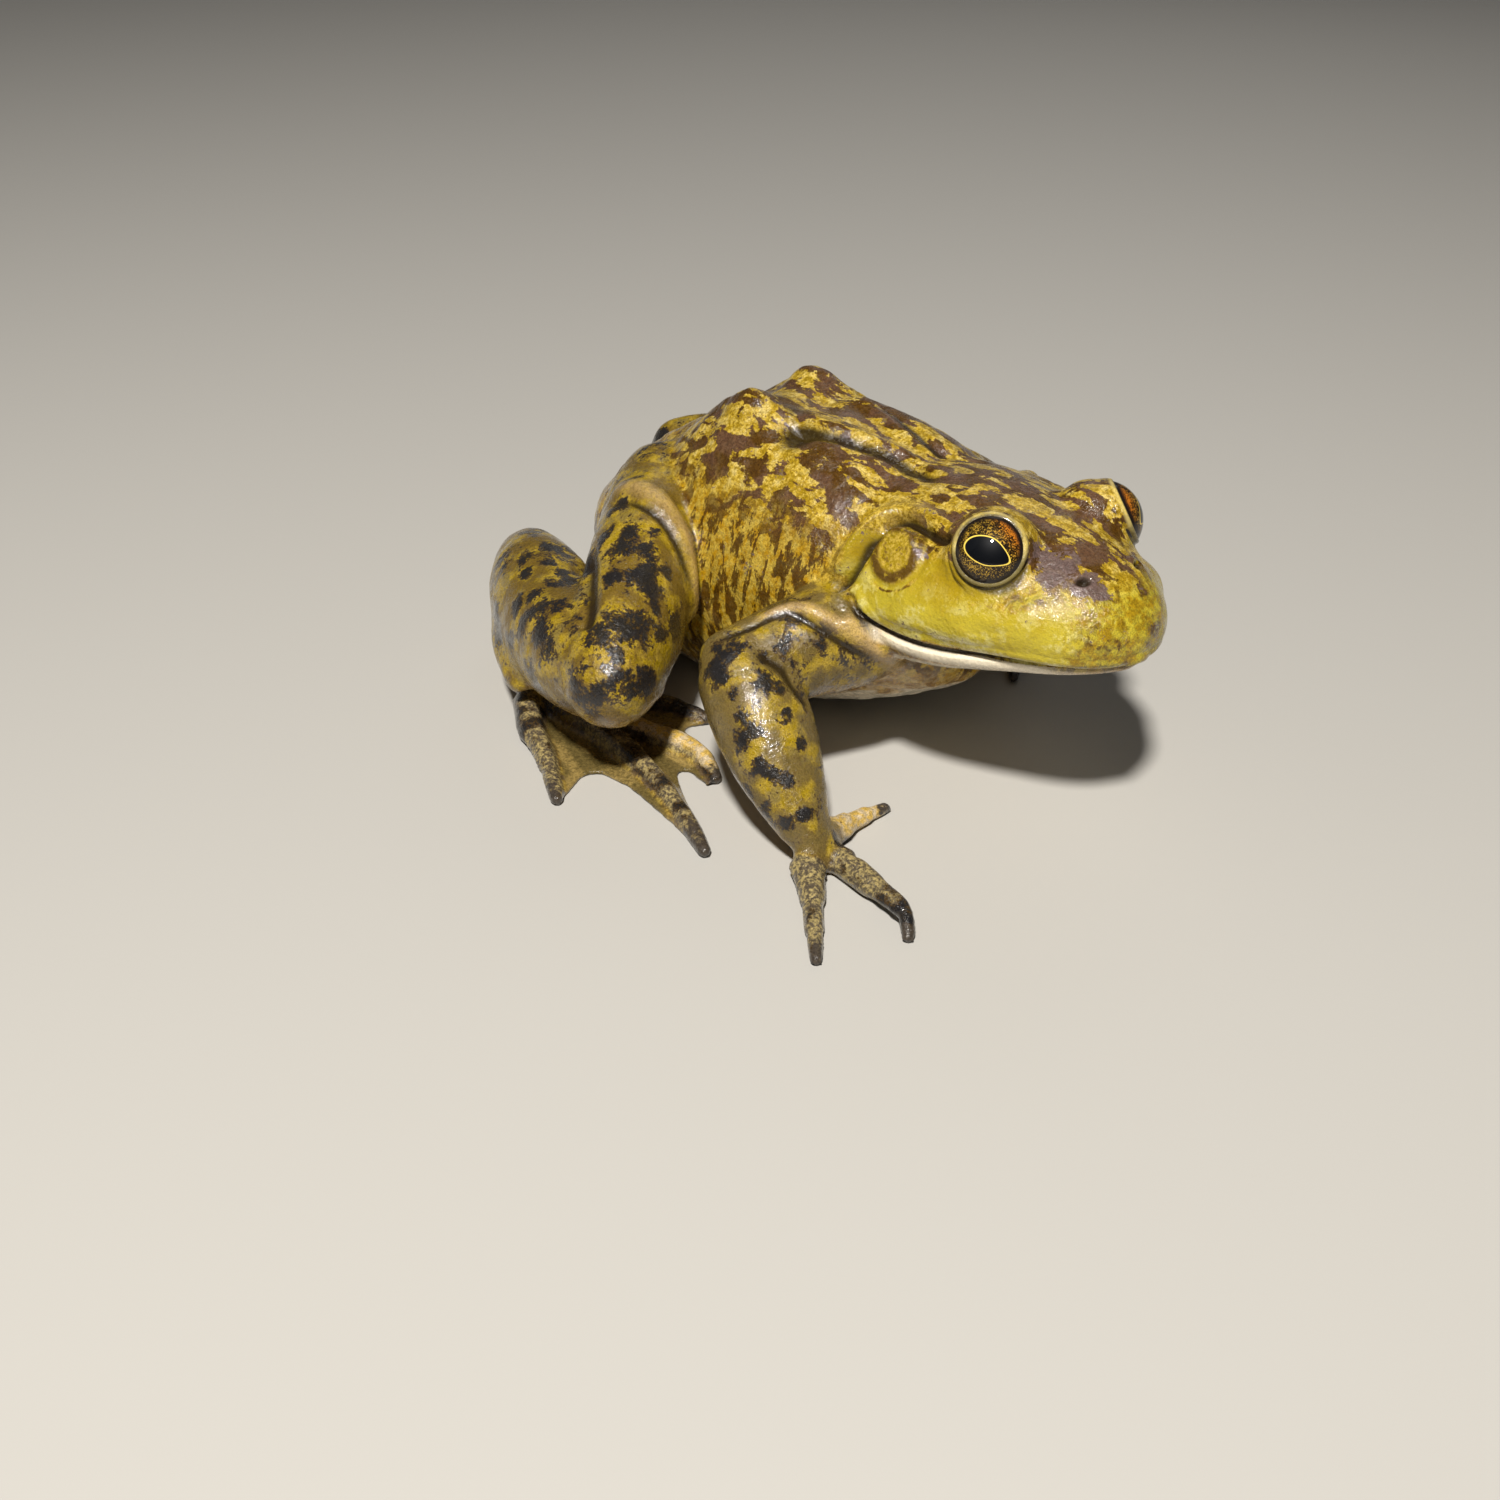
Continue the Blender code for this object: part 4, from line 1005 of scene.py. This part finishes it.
def skinMaterial():
    material, tree, shader = newMaterial("wet frog skin")
    c, s = opaque(skinColours), skinPattern
    place = put(tree, "ShaderNodeMapping", {"Vector": put(tree, "ShaderNodeTexCoord", {}, "Object"),
                                            "Scale": (perMetre, perMetre, perMetre)})
    long = put(tree, "ShaderNodeMapping", {"Vector": place, "Scale": (0.55, 1.2, 0.9), "Rotation": (0, 0, -0.15)})
    tall = put(tree, "ShaderNodeMapping", {"Vector": place, "Scale": (1.3, 1.0, 0.5)})
    height = put(tree, "ShaderNodeSeparateXYZ", {"Vector": place}, "Z")
    soft, torn, mid, fine, dust = (noise(place, *s[name]) for name in "soft torn mid fine dust".split())
    limb, arm, digit, web, tip, lightDigit, patch, streak = (
        look(tree, name) for name in "limb arm digit web tip lightDigit patch streak".split())
    front, lip, lipLow, jaw, drum, pale, paleLine, crease, lidRing, fold = (
        look(tree, name) for name in "front lip lipLow jaw drum pale paleLine crease lidRing fold".split())
    # trunk and head: yellow ground, brown blotches along the back and down the flanks
    high = step(height, *s["backBegins"])
    back = blended(step(mid * 0.6 + fine * 0.4, 0.42, 0.58), c.olive, c.yellow)
    back = blended(step(mid + dust * 0.5, 0.8, 0.95), back, c.khaki)
    ground = blended(high, blended(step(mid, 0.35, 0.6), c.amber, c.yellow), back)
    ground = blended(front, ground, blended(step(mid, 0.38, 0.62), c.olive, c.lime))
    ground = blended(fold, ground, blended(step(fine, 0.38, 0.62), c.olive, c.yellow))
    marks = ragged(long, *s["backBlotches"]) * high + ragged(tall, *s["flankBlotches"]) * (0.95 - high * 0.95)
    marks = marks * (0.94 - front * step(torn, 0.62, 0.48, 0.0, 0.8)) * (1.0 - fold * 0.85)
    brown = blended(step(soft, 0.42, 0.58) * high, c.brown, c.purple)
    colour = blended(marks, ground, brown)
    # cheek and lip
    lime = blended(lipLow * 0.8 + step(soft, 0.4, 0.6) * 0.3, c.limeDeep, c.lime)
    lime = blended(lipLow * step(torn + fine * 0.3, 0.62, 0.78), lime, c.limePale)
    lime = blended(step(fine + mid * 0.6, 0.9, 1.0) * 0.35, lime, c.olive)
    colour = blended(step(lip + (torn - 0.5) * 2.2, 0.3, 0.62) * 0.96, colour, lime)
    # limbs: tan and ochre ground with brown clouds and flecks
    legs = blended(step(mid * 0.6 + dust * 0.4, 0.4, 0.62), c.limbGround, c.limbTan)
    legs = blended(step(soft + fine * 0.35, 0.58, 0.74) * 0.85, legs, c.legBrown)
    legs = blended(step(torn - soft * 0.6, 0.22, 0.36) * 0.6, legs, c.legGrey)
    legs = blended(arm * step(soft, 0.36, 0.6, 0.05, 0.5), legs, c.legGrey)
    legs = blended(step(fine * 0.6 + dust * 0.4, 0.54, 0.6) * 0.75, legs, c.patchBrown)
    colour = blended(step(limb, 0.3, 0.7), colour, legs)
    # digits, and ragged black patches over them and the limbs
    fingers = blended(step(fine * 0.6 + mid * 0.4, 0.43, 0.6), c.digit, c.digitPale)
    fingers = blended(lightDigit, fingers, blended(step(mid, 0.4, 0.6), c.fingerPink, c.toeYellow))
    colour = blended(step(digit, 0.35, 0.75), colour, fingers)
    level = patch + ((torn - 0.5) * s["patchTorn"] + (fine - 0.5) * s["patchFrayed"])
    dark = blended(step(level + fine * 0.4, 0.8, 1.02), c.patchBrown, c.black)
    dark = blended(step(limb + digit, 0.3, 0.7), c.nostril, dark)
    colour = blended(step(level, *s["patchEdge"]) * 0.96, colour, dark)
    colour = blended(step(tip + (mid - 0.5) * 0.6, 0.86, 0.96), colour, c.tip)
    # webs
    sheet = blended(step(streak * 0.7 + fine * 0.3, 0.42, 0.66), c.web, c.webPale)
    colour = blended(step(web, 0.3, 0.8), colour, sheet)
    # eardrum: a broken brown ring and a spot in its middle
    mottle = mid + fine * 0.6
    ring = step(drum, 0.52, 0.68) * step(drum, 1.0, 0.88) * step(mottle, 0.64, 0.78)
    middle = step(drum, 0.62, 0.4) * step(mottle, 0.84, 0.94, 0.0, 0.8)
    disc = blended(step(fine, 0.4, 0.6), c.limeDeep, c.yellow)
    colour = blended(step(drum, 1.02, 0.92), colour, disc)
    colour = blended(greater(ring, middle) * 0.88, colour, c.brown)
    # under side, white lip, pale fold ridges with painted highlight, lids, and painted shade in the grooves
    colour = blended(pale, colour, blended(step(mid, 0.4, 0.6), c.throat, c.belly))
    colour = blended(step(pale, 0.75, 1.0), colour, c.cream)
    colour = blended(jaw, colour, c.cream)
    # pale fold ridges: partly pale skin, partly painted highlight
    colour = blended(paleLine * 0.6, colour, c.belly)
    speckle = step(dust * 0.5 + fine * 0.5, 0.4, 0.6, 0.62, 1.12)
    colour = blended(1.0 - greater(lip, jaw) * 0.75, colour, speckle, "MULTIPLY")
    colour = blended(lidRing, colour, c.lid)
    # painted shade: grooves, hollows, lid edges, mouth line and nostrils darkened where shade falls
    colour = blended(step(crease, 0.0, 0.75, 0.0, 0.95), colour, c.deep)
    # wet surface: fine grain breaks the light into sparkles, less so on the lids
    grains = cells(place, s["grainScale"], "SMOOTH_F1")
    bumps = grains * 0.5 + (fine + dust * 0.35)
    ripples = (fine + grains * 0.3) * step(lidRing, 0.0, 0.5, 1.0, 0.1)
    setInputs(shader, {
        "Base Color": colour,
        "Normal": bumped(bumps, s["bump"], s["bumpHeight"]),
        "Roughness": step(mid, 0.35, 0.65, *s["roughness"]),
        "Coat Weight": step(torn, 0.42, 0.56, *s["film"]),
        "Coat Normal": bumped(ripples, s["filmBump"], s["filmHeight"]),
        "Coat Roughness": s["filmRoughness"],
        "Coat IOR": s["filmIor"],
        "Specular IOR Level": s["specular"],
    })
    return material


eyeColours = {
    "dark": (0.009, 0.004, 0.001), "gold": (0.46, 0.28, 0.03), "orange": (0.62, 0.19, 0.012),
    "ring": (0.85, 0.62, 0.1), "pupil": (0.001, 0.0015, 0.003), "rim": (0.008, 0.005, 0.004),
}


def alongAndUp(place):
    return (put(place.tree, "ShaderNodeSeparateXYZ", {"Vector": place}, axis) for axis in "XY")


def eyeMaterial():
    material, tree, shader = newMaterial("frog eye")
    c, e = opaque(eyeColours), eyeLook
    place = put(tree, "ShaderNodeAttribute", {}, "Vector", attribute_name="eyePlace")
    tilt = {"Vector": place, "Angle": -math.radians(e["pupilTilt"])}
    along, up = alongAndUp(put(tree, "ShaderNodeVectorRotate", tilt, rotation_type="Z_AXIS"))
    # pupil: a rounded wedge, 1 at its edge
    along = (along - e["pupilBack"]) / e["pupilLong"]
    tall = step(along, 0.0, 1.3, 1.0, 0.62) * step(up, -0.8, 0.2, 0.88, 1.06) * e["pupilTall"]
    pupil = lengthOf(along, (up + e["pupilDrop"]) / tall)
    # iris: a net of dark lines over gold, orange towards the upper front
    ahead, above = alongAndUp(place)
    warm = step(ahead * 0.5 + above * 0.85, 1.5, 4.0)
    lit = warm * 0.07 + (noise(place, 0.8, 1.0, 0.5) - 0.5) * 0.25
    grains = step(noise(place, 4.6, 3.0, 0.7) + lit, 0.51, 0.62)
    grains = grains * step(cells(place, 3.6, "DISTANCE_TO_EDGE"), 0.015, 0.07)
    colour = blended(grains, c.dark, blended(warm, c.gold, c.orange))
    colour = blended(step(lengthOf(ahead, above), e["irisEdge"] - 0.7, e["irisEdge"]), colour, c.rim)
    colour = blended(step(pupil, 1.0 + e["goldRing"] + 0.03, 1.0 + e["goldRing"]), colour, c.ring)
    colour = blended(step(pupil, 1.01, 0.985), colour, c.pupil)
    setInputs(shader, {"Base Color": colour, "Roughness": 0.5, "Specular IOR Level": 0.1,
                       "Coat Weight": 1.0, "Coat IOR": 1.38, "Coat Roughness": 0.02})
    return material


skin.data.materials.append(skinMaterial())
liveEye = eyeMaterial()
for eye in eyeballs:
    eye.data.materials.append(liveEye)
skin.data.shade_smooth()
writePoints(skin.data, (skinPoints + frogOrigin) / perMetre)
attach(skin, "root")
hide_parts(*[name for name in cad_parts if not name.startswith("eye_")])
print("materials made, pieces set on the frame")
